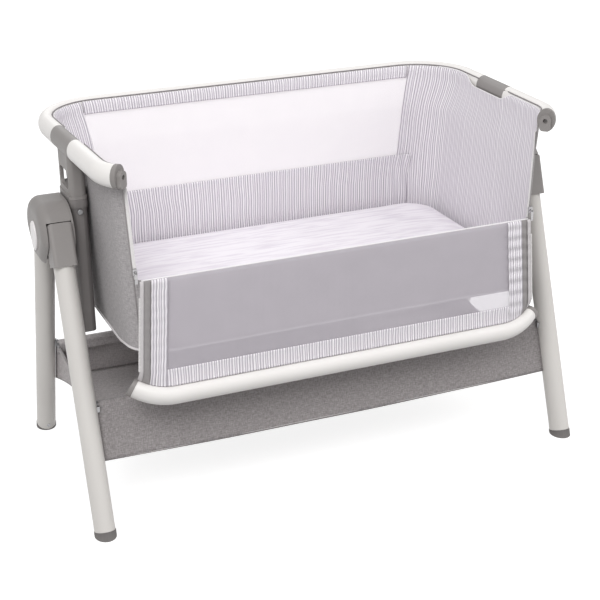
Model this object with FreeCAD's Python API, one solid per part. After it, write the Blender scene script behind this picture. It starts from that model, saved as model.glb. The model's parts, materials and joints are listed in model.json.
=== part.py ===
import FreeCAD, Part
import math
import os

from FreeCAD import Vector

# Bedside sleeper crib. Millimetres, X along the crib, -Y towards the drop side, +Z up.
# The origin is on the floor under the middle of the crib.

# ---- stand ----
leg_centre_x = 440.0            # middle of each leg tube from the crib's middle
foot_half_spread = 216.6        # leg centre line on the floor, from the middle
leg_apex_height = 638.0         # where the two leg centre lines of one end would cross
leg_width = 35.0                # oval leg tube, along X
leg_depth = 41.0                # oval leg tube, in the plane of the A-frame
leg_wall = 1.8
foot_height = 9.0               # visible part of the foot cap, along the leg
foot_lip = 0.8                  # how far the foot cap stands proud of the tube
foot_plug_length = 32.0
plug_clearance = 0.15

# ---- hub ----
fold_pivot_height = 497.0       # pin of the folding front leg
fold_pivot_y = -36.0
fold_pin_radius = 4.0
fold_knuckle_radius = 12.0
fold_knuckle_gap = 0.6
fold_fork_radius = 13.5
fold_rib_bottom = 504.0         # rib that ties the fork's outer cheek to the back plate
fold_rib_thick = 4.0
knuckle_width = 24.0
fold_angle = 37.0
fold_steps = 6                  # positions whose union stands for the folding leg's path
hub_inner_x = 416.0
hub_plate = 4.0
hub_outer_x = 470.0
hub_half_width = 68.0
hub_top = 524.0
hub_waist_height = 461.0
hub_foot_half_width = 29.0
hub_bottom = 416.0
hub_top_round = 52.0
hub_waist_round = 24.0
hub_foot_round = 25.0
hub_rim_round = 20.0
hub_wall = 3.0
socket_bottom_height = 428.0
socket_outer_x = 459.6
socket_inner_x = 420.6
socket_wall = 2.6
socket_corner = 6.0
sleeve_top_height = 495.5       # top of both leg sockets, on the leg's centre line
sleeve_gap = 1.2
cover_gap = 0.3                 # between the cover and what it closes round
running_clearance = 0.06

# ---- release button and latch ----
button_width = 37.0
button_height = 51.0
button_proud = 3.0
button_gap = 0.6
button_centre_y = 0.0
button_centre_z = 463.0
button_flange = 2.5
button_skin = 3.0
latch_y = 2.0
latch_z = 468.0
latch_neck_radius = 3.0
latch_head_radius = 5.0
latch_head_length = 4.0
spring_half_span = 9.0
spring_width = 10.0
spring_thick = 0.6
spring_seat_x = 463.0
height_stops = 7
height_step = 25.0

# ---- height column ----
column_x = 399.0                # middle of the column
column_width = 28.0             # along X
column_depth = 76.0             # along Y
column_round = 9.0
column_wall = 3.0
column_bottom = 291.0
column_split = 527.0            # seam between the fixed and the sliding half at the lowest stop
collar_height = 14.0
collar_proud = 1.6
slide_clearance = 0.5
slide_tube_wall = 2.0
slide_overlap = 9.0             # slide tube seated in the upper column
slide_tube_foot = 302.0
grip_bottom = 542.0
grip_top = 573.0
grip_front = -29.0
grip_back = 23.0
grip_back_bar = 6.0

# ---- top rail ----
rail_height = 612.0             # middle of the rail
rail_front = 243.0              # middle of the rail to the middle of the crib
rail_back = 226.0
rail_half_length = 402.0        # at the middle of the ends
rail_splay = 2.0                # the ends open out towards the back
front_corner_radius = 100.0     # drop rail's part of the front corner
side_corner_radius = 74.0       # fixed rail's part of the front corner
back_corner_radius = 107.0
rail_width = 29.5
rail_tall = 37.5
rail_wall = 2.4
groove_inset = 10.0             # fabric groove, inwards from the rail's middle
groove_radius = 1.3
seam_angle = 44.5               # where the drop rail meets the fixed rail, round the corner
cap_length = 7.0
cap_gap = 1.0
cap_lip = 1.0
boss_width = 19.0
boss_tall = 28.0
boss_drop = 4.0                 # middle of the boss below the middle of the rail
boss_length = 6.4
boss_arch = 9.0                 # round top of the boss
boss_round = 6.0                # its bottom corners
boss_hole_radius = 4.0
saddle_front = -47.0
saddle_back = 52.0
saddle_wall = 4.0
spigot_length = 28.0
spigot_gap = 0.15
saddle_seam = 0.3

# ---- drop rail ----
drop_rail_tilt = 45.0           # how far the lowered rail has rolled about its groove
hinge_y = -211.0                # line the drop panel turns on
hinge_z = 437.5
boss_clearance = 1.6

# ---- tub ----
tub_bottom = 306.0
tub_top = 585.0
tub_bottom_half_length = 368.0
tub_top_half_length = 382.0
tub_half_depth = 207.0
tub_front_corner = 42.0
tub_back_corner_bottom = 66.0
tub_back_corner_top = 84.0
tub_wall = 2.6
tub_zip_angle = 50.0            # front edge of the end walls, round the front corner
side_seam_x = 300.0             # where end wall and back wall are sewn together
fold_bead_radius = 2.0          # piping on the top edge of the low front wall
fold_hem = 2.4
lining_gap = 0.6
lining_thick = 1.8
lining_top = 626.0
lining_shoulder = 602.0
lining_rail_gap = 1.2
lining_column_gap = 0.4         # the sliding column is recessed by this round the lining
lining_corner_radius = 86.0     # front corner of the lining's top edge
lining_dip_bottom = 607.0       # where the lining passes below the saddle
lining_dip_margin = 14.0        # dip beyond the saddle's ends, at the top
lining_dip_slope = 24.0
lining_dip_round = 16.0
back_window_bottom = 448.0
back_window_top = 574.0
back_window_bottom_half = 300.0
back_window_top_half = 316.0
window_round = 14.0
net_thick = 0.9
board_thick = 5.0
mattress_gap = 6.0
mattress_thick = 46.0
mattress_crown = 7.0
mattress_waist = 3.0
mattress_shoulder = 9.0
mattress_corner = 58.0

# ---- drop panel ----
panel_thick = 2.4
panel_forward = 3.8             # panel in front of the hinge line when it hangs
panel_foot = 276.0              # lower edge of the net border, where the striped hem begins
panel_corner_x = 312.0          # the panel's lower corners are cut back for the rail's curve
panel_corner_run = 24.0
panel_corner_rise = 7.5
panel_fold_half = 354.0
panel_rail_half = 364.0
panel_fold_gap = 5.0            # from the hinge line to the panel's edge
panel_rail_gap = 2.2
panel_window_side = 46.0        # border between panel edge and net
panel_window_foot = 3.0
zip_strip = 8.0
zip_thick = 1.4

# ---- zip sliders ----
slider_width = 7.0
slider_thick = 5.0
slider_tall = 12.0
pull_length = 17.0
pull_width = 5.0
pull_thick = 1.6
zip_out = 5.5

# ---- storage basket ----
basket_top = 207.0
basket_bottom = 115.0
basket_fabric = 2.4
basket_rail_radius = 6.0
basket_rail_wall = 1.2
basket_end_gap = 0.8
basket_flange_radius = 9.0

# ---- fasteners ----
screw_head_radius = 4.6
screw_head_height = 2.0
screw_shank_radius = 2.0
screw_socket_radius = 1.8
column_screw_height = 506.0

lean = math.degrees(math.atan2(foot_half_spread, leg_apex_height))
groove_up = rail_tall / 2 * math.sqrt(1 - (2 * groove_inset / rail_width) ** 2)
groove_y = -rail_front + groove_inset
groove_z = rail_height + groove_up
hang_y = hinge_y - panel_forward - 1.5
panel_length = math.hypot(groove_y - hinge_y, groove_z - hinge_z)
hang_z = hinge_z - math.sqrt(panel_length ** 2 - (hinge_y - hang_y) ** 2)
fold_height = hinge_z - fold_bead_radius + 0.5
x_axis = Vector(1, 0, 0)
y_axis = Vector(0, 1, 0)
z_axis = Vector(0, 0, 1)
origin = Vector(0, 0, 0)


def box(x0, x1, y0, y1, z0, z1):
    return Part.makeBox(x1 - x0, y1 - y0, z1 - z0, Vector(x0, y0, z0))


def oval(width, depth, centre=origin, normal=z_axis, long_axis=x_axis):
    """Flat oval face; width runs along long_axis."""
    across = normal.cross(long_axis)
    if width >= depth:
        ends = (centre + long_axis * (width / 2), centre + across * (depth / 2))
    else:
        ends = (centre + across * (depth / 2), centre + long_axis * (width / 2))
    curve = Part.Ellipse(ends[0], ends[1], centre)
    return Part.Face(Part.Wire(curve.toShape()))


def rounded_bar(width, depth, round_radius, z0, z1, x, y=0.0):
    """Upright bar of rounded rectangular section, centred on x and y."""
    bar = box(x - width / 2, x + width / 2, y - depth / 2, y + depth / 2, z0, z1)
    uprights = [e for e in bar.Edges if abs(e.tangentAt(e.FirstParameter).z) > 0.9]
    return bar.makeFillet(round_radius, uprights)


def plate_yz(points, x0, x1, fillets=()):
    """Plate cut to an outline of (y, z) points and extruded from x0 to x1."""
    corners = [Vector(x0, y, z) for y, z in points]
    face = Part.Face(Part.makePolygon(corners + corners[:1]))
    plate = face.extrude(Vector(x1 - x0, 0, 0))
    for index, radius in fillets:
        y, z = points[index]
        edges = [e for e in plate.Edges if is_along_x(e) and on_line(e, y, z)]
        plate = plate.makeFillet(radius, edges)
    return plate


def is_along_x(edge):
    return abs(edge.tangentAt(edge.FirstParameter).x) > 0.99


def on_line(edge, y, z):
    point = edge.Vertexes[0].Point
    return abs(point.y - y) < 0.01 and abs(point.z - z) < 0.01


def mirrored(shape):
    return shape.mirror(origin, x_axis)


def flipped_depth(shape):
    return shape.mirror(origin, y_axis)


def turned_x(shape, degrees, y=0.0, z=0.0):
    turned = shape.copy()
    turned.rotate(Vector(0, y, z), x_axis, degrees)
    return turned


def save(name, shape):
    shape.exportStep(os.path.join("parts", name + ".step"))


def save_pair(name, left):
    save(name + "_left", left)
    save(name + "_right", mirrored(left))


# ---------------------------------------------------------------- legs

def leg_bar(width, depth, start, end):
    """Oval bar along the rear left leg's centre line, from start to end along the leg."""
    bar = oval(width, depth).extrude(Vector(0, 0, end - start))
    bar.translate(Vector(0, 0, start))
    bar = turned_x(bar, lean)
    bar.translate(Vector(-leg_centre_x, foot_half_spread, 0))
    return bar


def along_leg(height):
    return height / math.cos(math.radians(lean))


def rear_leg():
    top = socket_top() - socket_wall
    outer = leg_bar(leg_width, leg_depth, foot_height, top)
    bore = leg_bar(leg_width - 2 * leg_wall, leg_depth - 2 * leg_wall, 0, top + 1)
    return outer.cut(bore)


def front_leg():
    top = socket_top() - socket_wall
    outer = leg_bar(leg_width, leg_depth, foot_height, top)
    bore = leg_bar(leg_width - 2 * leg_wall, leg_depth - 2 * leg_wall, 0, top + 1)
    return flipped_depth(outer.cut(bore))


def foot():
    """Cap that closes the tube, with a plug inside it and a sole level with the floor."""
    cap = leg_bar(leg_width + 2 * foot_lip, leg_depth + 2 * foot_lip, -leg_depth, foot_height)
    inset = 2 * (leg_wall + plug_clearance)
    plug_top = foot_height + foot_plug_length
    plug = leg_bar(leg_width - inset, leg_depth - inset, 0, plug_top)
    hollow_inset = inset + 2 * leg_wall
    hollow = leg_bar(leg_width - hollow_inset, leg_depth - hollow_inset, foot_height, plug_top + 1)
    reach = 2 * leg_depth
    below = box(-leg_centre_x - reach, -leg_centre_x + reach,
                foot_half_spread - reach, foot_half_spread + reach, -reach, 0)
    return cap.fuse(plug).cut(hollow).cut(below).removeSplitter()


def screw(head_point, direction, length):
    """Round-headed screw; head_point is on the surface and direction points outwards."""
    head = Part.makeCylinder(screw_head_radius, screw_head_height, head_point, direction)
    rim = head.Edges[0] if head.Edges[0].CenterOfMass.distanceToPoint(head_point) > 1 else head.Edges[2]
    head = head.makeFillet(screw_head_height * 0.4, [rim])
    shank = Part.makeCylinder(screw_shank_radius, length, head_point, direction * -1)
    socket_mouth = head_point + direction * screw_head_height
    socket = Part.makeCylinder(screw_socket_radius, screw_head_height * 0.6, socket_mouth, direction * -1)
    return head.fuse(shank).cut(socket)


# ---------------------------------------------------------------- hub

def leg_block(outer_x, inner_x, front, back, bottom, top):
    """Block beside the rear left leg's line: depths across the leg, bottom and top along it."""
    block = box(-outer_x, -inner_x, front, back, bottom, top)
    block = turned_x(block, lean)
    block.translate(Vector(0, foot_half_spread, 0))
    return block


def socket_top():
    return along_leg(sleeve_top_height)


def tube_space():
    """Room for the rear left leg's tube in its socket."""
    return leg_bar(leg_width + 0.2, leg_depth + 0.2, 0, socket_top() - socket_wall + 0.1)


def leg_socket():
    """Moulded socket round the top of the rear left leg, closed above the tube."""
    half = leg_depth / 2 + socket_wall
    block = leg_block(socket_outer_x, socket_inner_x, -half, half,
                      along_leg(socket_bottom_height), socket_top())
    outer_edges = [e for e in block.Edges if all(v.Point.x < -socket_outer_x + 0.1 for v in e.Vertexes)]
    inner_edges = [e for e in block.Edges if all(v.Point.x > -socket_inner_x - 0.1 for v in e.Vertexes)]
    rounded = [e for e in outer_edges + inner_edges if e.CenterOfMass.z > socket_bottom_height + 9]
    block = block.makeFillet(socket_corner, rounded)
    return block.cut(tube_space())


def knuckle_cylinder(radius, x0, x1):
    """Cylinder on the front leg's fold line."""
    return Part.makeCylinder(radius, x1 - x0, Vector(x0, fold_pivot_y, fold_pivot_height), x_axis)


def pin_in_leg_frame():
    """The fold pin measured across and along the leg's own line."""
    across = -fold_pivot_y - foot_half_spread
    turn = math.radians(lean)
    return (across * math.cos(turn) + fold_pivot_height * math.sin(turn),
            fold_pivot_height * math.cos(turn) - across * math.sin(turn))


def hub_outline(inset):
    half = hub_half_width - inset
    foot = hub_foot_half_width - inset * 0.6
    top = hub_top - inset
    bottom = hub_bottom + inset
    return [(-half, top), (half, top), (half, hub_waist_height), (foot, bottom),
            (-foot, bottom), (-half, hub_waist_height)]


def hub_dome(inset, x0, x1, rim):
    """Shield-shaped block with a generous radius round its outer rim."""
    fillets = [(0, hub_top_round - inset), (1, hub_top_round - inset), (2, hub_waist_round),
               (5, hub_waist_round), (3, hub_foot_round - inset), (4, hub_foot_round - inset)]
    dome = plate_yz(hub_outline(inset), x0, x1, fillets)
    edges = [e for e in dome.Edges if on_plane_x(e, x0)]
    return dome.makeFillet(rim, edges)


def on_plane_x(edge, x):
    return all(abs(v.Point.x - x) < 0.01 for v in edge.Vertexes) and not is_along_x(edge)


def sleeve_space(extra):
    """Room round the front leg's sleeve: open forwards and downwards, front left side."""
    half = leg_depth / 2 + socket_wall + extra
    space = leg_block(socket_outer_x + extra, hub_inner_x - 2, -half, half + 40,
                      along_leg(socket_bottom_height) - 60, socket_top() + extra)
    return flipped_depth(space)


def fold_sweep():
    """Everything the sleeve passes through while the front leg folds back."""
    half = leg_depth / 2 + socket_wall + sleeve_gap
    block = flipped_depth(leg_block(socket_outer_x + sleeve_gap, hub_inner_x + hub_plate - 0.2, -half, half,
                                    along_leg(socket_bottom_height) - 60, socket_top() + sleeve_gap))
    turned = [turned_x(block, fold_angle * step / fold_steps, fold_pivot_y, fold_pivot_height)
              for step in range(1, fold_steps + 1)]
    knuckle = knuckle_cylinder(fold_knuckle_radius + fold_knuckle_gap, -leg_centre_x - knuckle_width / 2 - 0.4,
                               -leg_centre_x + knuckle_width / 2 + 0.4)
    return block.fuse(turned + [knuckle])


def hub_cover():
    """Outer shell of the hub: one domed moulding with openings for the legs and the button."""
    x0 = -hub_outer_x
    x1 = -hub_inner_x - hub_plate - 0.2
    shell = hub_dome(0.0, x0, x1, hub_rim_round)
    hollow = hub_dome(hub_wall, x0 + hub_wall, x1 + 1, hub_rim_round - hub_wall)
    shell = shell.cut(hollow)
    shell = shell.cut(sleeve_space(sleeve_gap))
    shell = shell.cut(flipped_depth(sleeve_space(cover_gap)))
    shell = shell.cut(fold_sweep())
    shell = shell.cut(button_oval(button_gap, x0 - 1, x0 + hub_rim_round))
    return max(shell.Solids, key=lambda solid: solid.Volume)


def inside_cover(shape):
    """Keeps what fits inside the cover with a gap all round."""
    inset = hub_wall + cover_gap
    room = hub_dome(inset, -hub_outer_x + inset, -hub_inner_x, hub_rim_round - inset)
    return shape.common(room)


def hub_housing():
    """Inner frame: back plate, fork for the folding leg, rear leg socket and latch guide."""
    x1 = -hub_inner_x
    plate_x = x1 - hub_plate
    fillets = [(0, hub_top_round), (1, hub_top_round), (2, hub_waist_round), (5, hub_waist_round),
               (3, hub_foot_round), (4, hub_foot_round)]
    plate = plate_yz(hub_outline(0.0), plate_x, x1, fillets)
    plate = plate.makeFillet(1.2, [e for e in plate.Edges if on_plane_x(e, x1)])
    fork = knuckle_cylinder(fold_fork_radius, -socket_outer_x, plate_x + 0.5)
    guide = Part.makeCylinder(latch_neck_radius + 3.0, spring_seat_x + plate_x,
                              Vector(-spring_seat_x, latch_y, latch_z), x_axis)
    rib = box(-socket_outer_x, plate_x + 0.5, fold_pivot_y, -fold_pivot_y,
              fold_rib_bottom, fold_rib_bottom + fold_rib_thick)
    inner = inside_cover(fork.fuse([guide, spring_seat(), rib]))
    half_slot = knuckle_width / 2 + 0.4
    slot = knuckle_cylinder(fold_knuckle_radius + fold_knuckle_gap, -leg_centre_x - half_slot,
                            -leg_centre_x + half_slot)
    pin = knuckle_cylinder(fold_pin_radius + running_clearance, -socket_outer_x + 1.5, plate_x + 1.5)
    inner = inner.cut(slot).cut(fold_sweep())
    socket = leg_socket().fuse(rear_bridge())
    latch = Part.makeCylinder(latch_neck_radius + running_clearance, hub_outer_x - hub_inner_x + 2,
                              Vector(-hub_outer_x, latch_y, latch_z), x_axis)
    body = plate.fuse([inner, socket]).cut(pin).cut(latch).removeSplitter()
    return max(body.Solids, key=lambda solid: solid.Volume)


def rear_bridge():
    """Web that ties the rear leg's socket to the back plate."""
    half = leg_depth / 2
    web = leg_block(socket_outer_x - 12, hub_inner_x + hub_plate - 0.5, -half, half,
                    socket_top() - 40, socket_top() - socket_wall + 0.5)
    return web.cut(tube_space())


def fold_pin():
    return knuckle_cylinder(fold_pin_radius, -socket_outer_x + 2.0, -hub_inner_x - hub_plate + 1.0)


def leg_sleeve():
    """Folding sleeve that holds the front leg, with a round knuckle on the hub's pin."""
    x0 = -leg_centre_x - knuckle_width / 2
    x1 = -leg_centre_x + knuckle_width / 2
    knuckle = knuckle_cylinder(fold_knuckle_radius, x0, x1)
    across, along = pin_in_leg_frame()
    half = fold_knuckle_radius - 1.0
    neck = leg_block(-x0, -x1, across - half, across + half, socket_top() - socket_wall + 0.6, along)
    bore = knuckle_cylinder(fold_pin_radius + running_clearance, x0 - 1, x1 + 1)
    sleeve = flipped_depth(leg_socket().fuse(neck)).fuse(knuckle).removeSplitter()
    return sleeve.cut(flipped_depth(tube_space())).cut(bore)


def button_oval(grow, x0, x1):
    face = oval(button_width + 2 * grow, button_height + 2 * grow,
                Vector(x0, button_centre_y, button_centre_z), x_axis, y_axis)
    return face.extrude(Vector(x1 - x0, 0, 0))


def spring_seat():
    """Cross bar that the button's spring leans on, out of the way of the folding leg."""
    return box(-spring_seat_x, -spring_seat_x + 2.0, latch_y - spring_half_span - 1,
               latch_y + spring_half_span + 1, latch_z - spring_width / 2, latch_z + spring_width / 2)


def release_button():
    """Oval push button: a skirted cap with a retaining flange and the latch pin behind it."""
    face_x = -hub_outer_x - button_proud
    back_x = -hub_outer_x + hub_wall + 0.4
    cap = button_oval(0.0, face_x, back_x + 1.6)
    front_edge = [e for e in cap.Edges if abs(e.CenterOfMass.x - face_x) < 0.1]
    cap = cap.makeFillet(2.2, front_edge)
    cap = cap.cut(button_oval(-button_skin, face_x + button_skin, back_x + 3))
    flange = button_oval(button_flange, back_x, back_x + 1.6)
    flange = flange.cut(button_oval(-button_skin, back_x - 1, back_x + 3))
    slide_x = -column_x - column_width / 2 + column_wall + slide_clearance
    inner_x = slide_x + slide_tube_wall + 0.5
    start = Vector(face_x + button_skin - 0.5, latch_y, latch_z)
    neck = Part.makeCylinder(latch_neck_radius, inner_x + 1 - start.x, start, x_axis)
    collar = Part.makeCylinder(latch_head_radius, 1.5, start, x_axis)
    head = Part.makeCylinder(latch_head_radius, latch_head_length,
                             Vector(inner_x, latch_y, latch_z), x_axis)
    return cap.fuse([flange, collar, neck, head]).removeSplitter()


def button_spring():
    """Bowed leaf spring round the latch pin, between its seat and the button."""
    crest_x = -hub_outer_x - button_proud + button_skin + 1.2
    foot_x = -spring_seat_x - 0.1
    y0 = latch_y - spring_half_span
    y1 = latch_y + spring_half_span
    thick = spring_thick
    outer = Part.Arc(Vector(foot_x - thick, y0, 0), Vector(crest_x, latch_y, 0), Vector(foot_x - thick, y1, 0))
    inner = Part.Arc(Vector(foot_x, y1, 0), Vector(crest_x + thick, latch_y, 0), Vector(foot_x, y0, 0))
    ends = [Part.LineSegment(Vector(foot_x - thick, y1, 0), Vector(foot_x, y1, 0)),
            Part.LineSegment(Vector(foot_x, y0, 0), Vector(foot_x - thick, y0, 0))]
    outline = Part.Wire([outer.toShape(), ends[0].toShape(), inner.toShape(), ends[1].toShape()])
    leaf = Part.Face(outline).extrude(Vector(0, 0, spring_width - 1))
    leaf.translate(Vector(0, 0, latch_z - spring_width / 2 + 0.5))
    hole = Part.makeCylinder(latch_neck_radius + 0.5, 12.0, Vector(crest_x - 1, latch_y, latch_z), x_axis)
    return leaf.cut(hole)


# ---------------------------------------------------------------- height column

def lower_column():
    """Fixed guide: hollow bar with a collar at its mouth and a closed foot."""
    x = -column_x
    bar = rounded_bar(column_width, column_depth, column_round, column_bottom, column_split - 0.4, x)
    collar = rounded_bar(column_width + 2 * collar_proud, column_depth + 2 * collar_proud,
                         column_round + collar_proud, column_split - 0.4 - collar_height,
                         column_split - 0.4, x)
    collar = collar.cut(box(-2 * column_x, -hub_inner_x, -column_depth, column_depth,
                            column_bottom, column_split))
    bore = rounded_bar(column_width - 2 * column_wall, column_depth - 2 * column_wall,
                       column_round - column_wall, column_bottom + column_wall, column_split + 1, x)
    back = box(-hub_inner_x, x - column_width / 2 + 1, -column_depth / 2 + column_round,
               column_depth / 2 - column_round, 440, hub_top - 12)
    latch = Part.makeCylinder(latch_neck_radius + running_clearance, 12.0,
                              Vector(-hub_inner_x - 1, latch_y, latch_z), x_axis)
    screw_hole = Part.makeCylinder(screw_shank_radius + running_clearance, column_wall + collar_proud + 2,
                                   Vector(x, -column_depth / 2 - collar_proud - 1, column_screw_height),
                                   y_axis)
    return bar.fuse([collar, back]).cut(bore).cut(latch).cut(screw_hole).removeSplitter()


def slide_tube_section():
    shrink = 2 * (column_wall + slide_clearance)
    return column_width - shrink, column_depth - shrink, column_round - column_wall - slide_clearance


def slide_tube():
    """Inner tube of the sliding half, with the latch slot and a hole for each height stop."""
    x = -column_x
    width, depth, corner = slide_tube_section()
    top = column_split + slide_overlap
    tube = rounded_bar(width, depth, corner, slide_tube_foot, top, x)
    bore = rounded_bar(width - 2 * slide_tube_wall, depth - 2 * slide_tube_wall,
                       corner - slide_tube_wall, slide_tube_foot - 1, top + 1, x)
    tube = tube.cut(bore)
    wall_x = x - width / 2 - 1
    slot_half = latch_neck_radius + 0.5
    travel = (height_stops - 1) * height_step
    slot = box(wall_x, wall_x + slide_tube_wall + 2, latch_y - slot_half, latch_y + slot_half,
               latch_z - travel - slot_half, latch_z + slot_half)
    for stop in range(height_stops):
        hole = Part.makeCylinder(latch_head_radius + 0.3, slide_tube_wall + 2,
                                 Vector(wall_x, latch_y, latch_z - stop * height_step), x_axis)
        slot = slot.fuse(hole)
    return tube.cut(slot)


def rail_oval(width, tall, grow=0.0):
    """Upright oval face of the rail in the XZ plane, centred on the origin, outwards is +X."""
    return oval(width + 2 * grow, tall + 2 * grow, origin, y_axis * -1, x_axis)


def side_point(y):
    """Middle of the rail at the left end, y from the crib's middle."""
    return Vector(-rail_half_length - y * math.tan(math.radians(rail_splay)), y, rail_height)


def side_sweep(section, y0, y1):
    """Runs an upright section along the straight left end of the rail."""
    placed = section.copy()
    placed.rotate(origin, z_axis, 180 + rail_splay)
    placed.translate(side_point(y0))
    return placed.extrude(side_point(y1) - side_point(y0))


def upper_column():
    """Sliding half: a grip loop that carries the saddle and holds the slide tube."""
    x = -column_x
    body = rounded_bar(column_width, column_depth, column_round, column_split, rail_height, x)
    lip = rounded_bar(column_width + 2 * collar_proud, column_depth + 2 * collar_proud,
                      column_round + collar_proud, column_split, column_split + 5, x)
    body = body.fuse(lip.cut(box(-2 * column_x, -hub_inner_x, -column_depth, column_depth, 0, rail_height)))
    grip = plate_yz([(grip_front, grip_bottom), (grip_back, grip_bottom), (grip_back, grip_top),
                     (grip_front, grip_top)], x - column_width, x + column_width,
                    [(0, 8.0), (1, 8.0), (2, 8.0), (3, 8.0)])
    back_cut = box(x - column_width / 2 + grip_back_bar, x + column_width, grip_front + 8,
                   column_depth, grip_bottom, grip_top)
    width, depth, corner = slide_tube_section()
    seat = rounded_bar(width + 0.1, depth + 0.1, corner, column_split - 1, column_split + slide_overlap, x)
    body = body.cut(grip).cut(back_cut).cut(seat)
    above = box(-2 * column_x, 0, -column_depth, column_depth, rail_height - 6, rail_height + 1)
    body = body.cut(side_sweep(rail_oval(rail_width, rail_tall, 0.1), -120, 120)).cut(above)
    return body.cut(lining_solid(lining_column_gap)).Solids[0]


def saddle():
    """Grey coupling between the rails, flush with them, with a spigot into each."""
    outer = rail_oval(rail_width, rail_tall)
    spigot = rail_oval(rail_width, rail_tall, -rail_wall - spigot_gap)
    bore = rail_oval(rail_width, rail_tall, -rail_wall - saddle_wall)
    sleeve = side_sweep(outer, saddle_front, saddle_back)
    inner = side_sweep(spigot, saddle_front - spigot_length, saddle_back + spigot_length)
    return sleeve.fuse(inner).cut(side_sweep(bore, saddle_front - 60, saddle_back + 60)).removeSplitter()


# ---------------------------------------------------------------- top rail

def corner_centre(y, radius):
    """Centre of a corner that is tangent to the splayed left end."""
    splay = math.radians(rail_splay)
    run = (y - radius * math.sin(splay)) / math.cos(splay)
    x = -rail_half_length - run * math.sin(splay) + radius * math.cos(splay)
    return Vector(x, y, rail_height)


def side_arc_centre():
    """Centre of the front corner's rear part, tangent to the splayed end."""
    share = math.cos(math.radians(seam_angle))
    y = -rail_front + front_corner_radius - (front_corner_radius - side_corner_radius) * share
    return corner_centre(y, side_corner_radius)


def front_corner_centre():
    """Centre of the front corner's front part, which meets the rear part at the seam."""
    angle = math.radians(seam_angle)
    outward = Vector(-math.sin(angle), -math.cos(angle), 0)
    return side_arc_centre() - outward * (front_corner_radius - side_corner_radius)


def back_corner_centre():
    return corner_centre(rail_back - back_corner_radius, back_corner_radius)


def corner_sweep(section, centre, radius, angle0, angle1):
    """Sweeps a section round part of the front left corner; angle 0 is on the long front side."""
    placed = section.copy()
    placed.rotate(origin, z_axis, -90)
    placed.translate(centre + Vector(0, -radius, 0))
    placed.rotate(centre, z_axis, -angle0)
    return placed.revolve(centre, z_axis, angle0 - angle1)


def fixed_corner_sweep(section, angle0, angle1):
    return corner_sweep(section, side_arc_centre(), side_corner_radius, angle0, angle1)


def drop_corner_sweep(section, angle0, angle1):
    return corner_sweep(section, front_corner_centre(), front_corner_radius, angle0, angle1)


def back_corner_sweep(section, angle1):
    """Sweeps a section round the back left corner, from the long back side."""
    centre = back_corner_centre()
    placed = section.copy()
    placed.rotate(origin, z_axis, 90)
    placed.translate(centre + Vector(0, back_corner_radius, 0))
    return placed.revolve(centre, z_axis, angle1)


def rail_section():
    """Oval ring with the fabric groove cut into its outer wall."""
    ring = rail_oval(rail_width, rail_tall).cut(rail_oval(rail_width, rail_tall, -rail_wall))
    centre = Vector(-groove_inset, 0, groove_up)
    centre = centre * (1 - 0.3 / centre.Length)
    groove = Part.Face(Part.Wire(Part.Circle(centre, y_axis, groove_radius).toShape()))
    return ring.cut(groove).Faces[0]


def degrees_round(length, radius):
    return math.degrees(length / radius)


def front_end_rail():
    """Short fixed rail from the saddle round the front corner to the end cap."""
    section = rail_section()
    start = seam_angle + degrees_round(cap_gap / 2 + cap_length, side_corner_radius)
    corner = fixed_corner_sweep(section, start, 90.0 - rail_splay)
    tangent_y = side_arc_centre().y - side_corner_radius * math.sin(math.radians(rail_splay))
    side = side_sweep(section, tangent_y, saddle_front - saddle_seam)
    return corner.fuse(side).removeSplitter()


def back_rail():
    """U-shaped rail from one saddle round the back to the other."""
    section = rail_section()
    corner = back_corner_sweep(section, 90.0 + rail_splay)
    tangent_y = back_corner_centre().y - back_corner_radius * math.sin(math.radians(rail_splay))
    side = side_sweep(section, saddle_back + saddle_seam, tangent_y)
    half = -back_corner_centre().x
    straight = section.copy()
    straight.rotate(origin, z_axis, 90)
    straight.translate(Vector(-half, rail_back, rail_height))
    straight = straight.extrude(Vector(2 * half, 0, 0))
    return straight.fuse([corner, side, mirrored(corner), mirrored(side)]).removeSplitter()


def seam_plane_point(offset):
    """Point on the rail's middle line at the seam, moved along the rail by offset."""
    angle = math.radians(seam_angle)
    outward = Vector(-math.sin(angle), -math.cos(angle), 0)
    along = Vector(math.cos(angle), -math.sin(angle), 0)
    return front_corner_centre() + outward * front_corner_radius + along * offset, outward, along


def boss_block(grow, length, inward=0.0):
    """Block with a round top that stands out of the fixed end cap along the rail."""
    point, outward, along = seam_plane_point(0.0)
    half = boss_width / 2 + grow
    tall = boss_tall + 2 * grow
    root = cap_gap + 0.3
    block = Part.makeBox(2 * half + inward, length + root, tall,
                         Vector(-half - inward, -root, -tall / 2 - boss_drop))
    along_edges = [e for e in block.Edges if abs(e.tangentAt(e.FirstParameter).y) > 0.9]
    block = block.makeFillet(boss_arch + grow, [e for e in along_edges if e.CenterOfMass.z > -boss_drop])
    lower = [e for e in block.Edges if abs(e.tangentAt(e.FirstParameter).y) > 0.9
             and abs(e.CenterOfMass.z + tall / 2 + boss_drop) < 0.01]
    block = block.makeFillet(boss_round + grow, lower)
    block.rotate(origin, z_axis, math.degrees(math.atan2(outward.y, outward.x)))
    block.translate(point)
    return block


def rail_end_cap():
    """Grey cap on the fixed rail with the boss and socket that the drop rail closes on."""
    start = seam_angle + degrees_round(cap_gap / 2, side_corner_radius)
    end = start + degrees_round(cap_length, side_corner_radius) - 0.02
    cap = fixed_corner_sweep(rail_oval(rail_width, rail_tall, cap_lip), start, end)
    boss = boss_block(0.0, boss_length)
    point, outward, along = seam_plane_point(boss_length + 1.0)
    socket = Part.makeCylinder(boss_hole_radius, boss_length + 1.0, point, along * -1)
    return cap.fuse(boss).cut(socket).removeSplitter()


# ---------------------------------------------------------------- drop rail

def to_lowered(shape):
    """Moves a raised drop-rail piece to where it hangs when the side is down."""
    lowered = turned_x(shape, drop_rail_tilt, groove_y, groove_z)
    lowered.translate(Vector(0, hang_y - groove_y, hang_z - groove_z))
    return lowered


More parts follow.
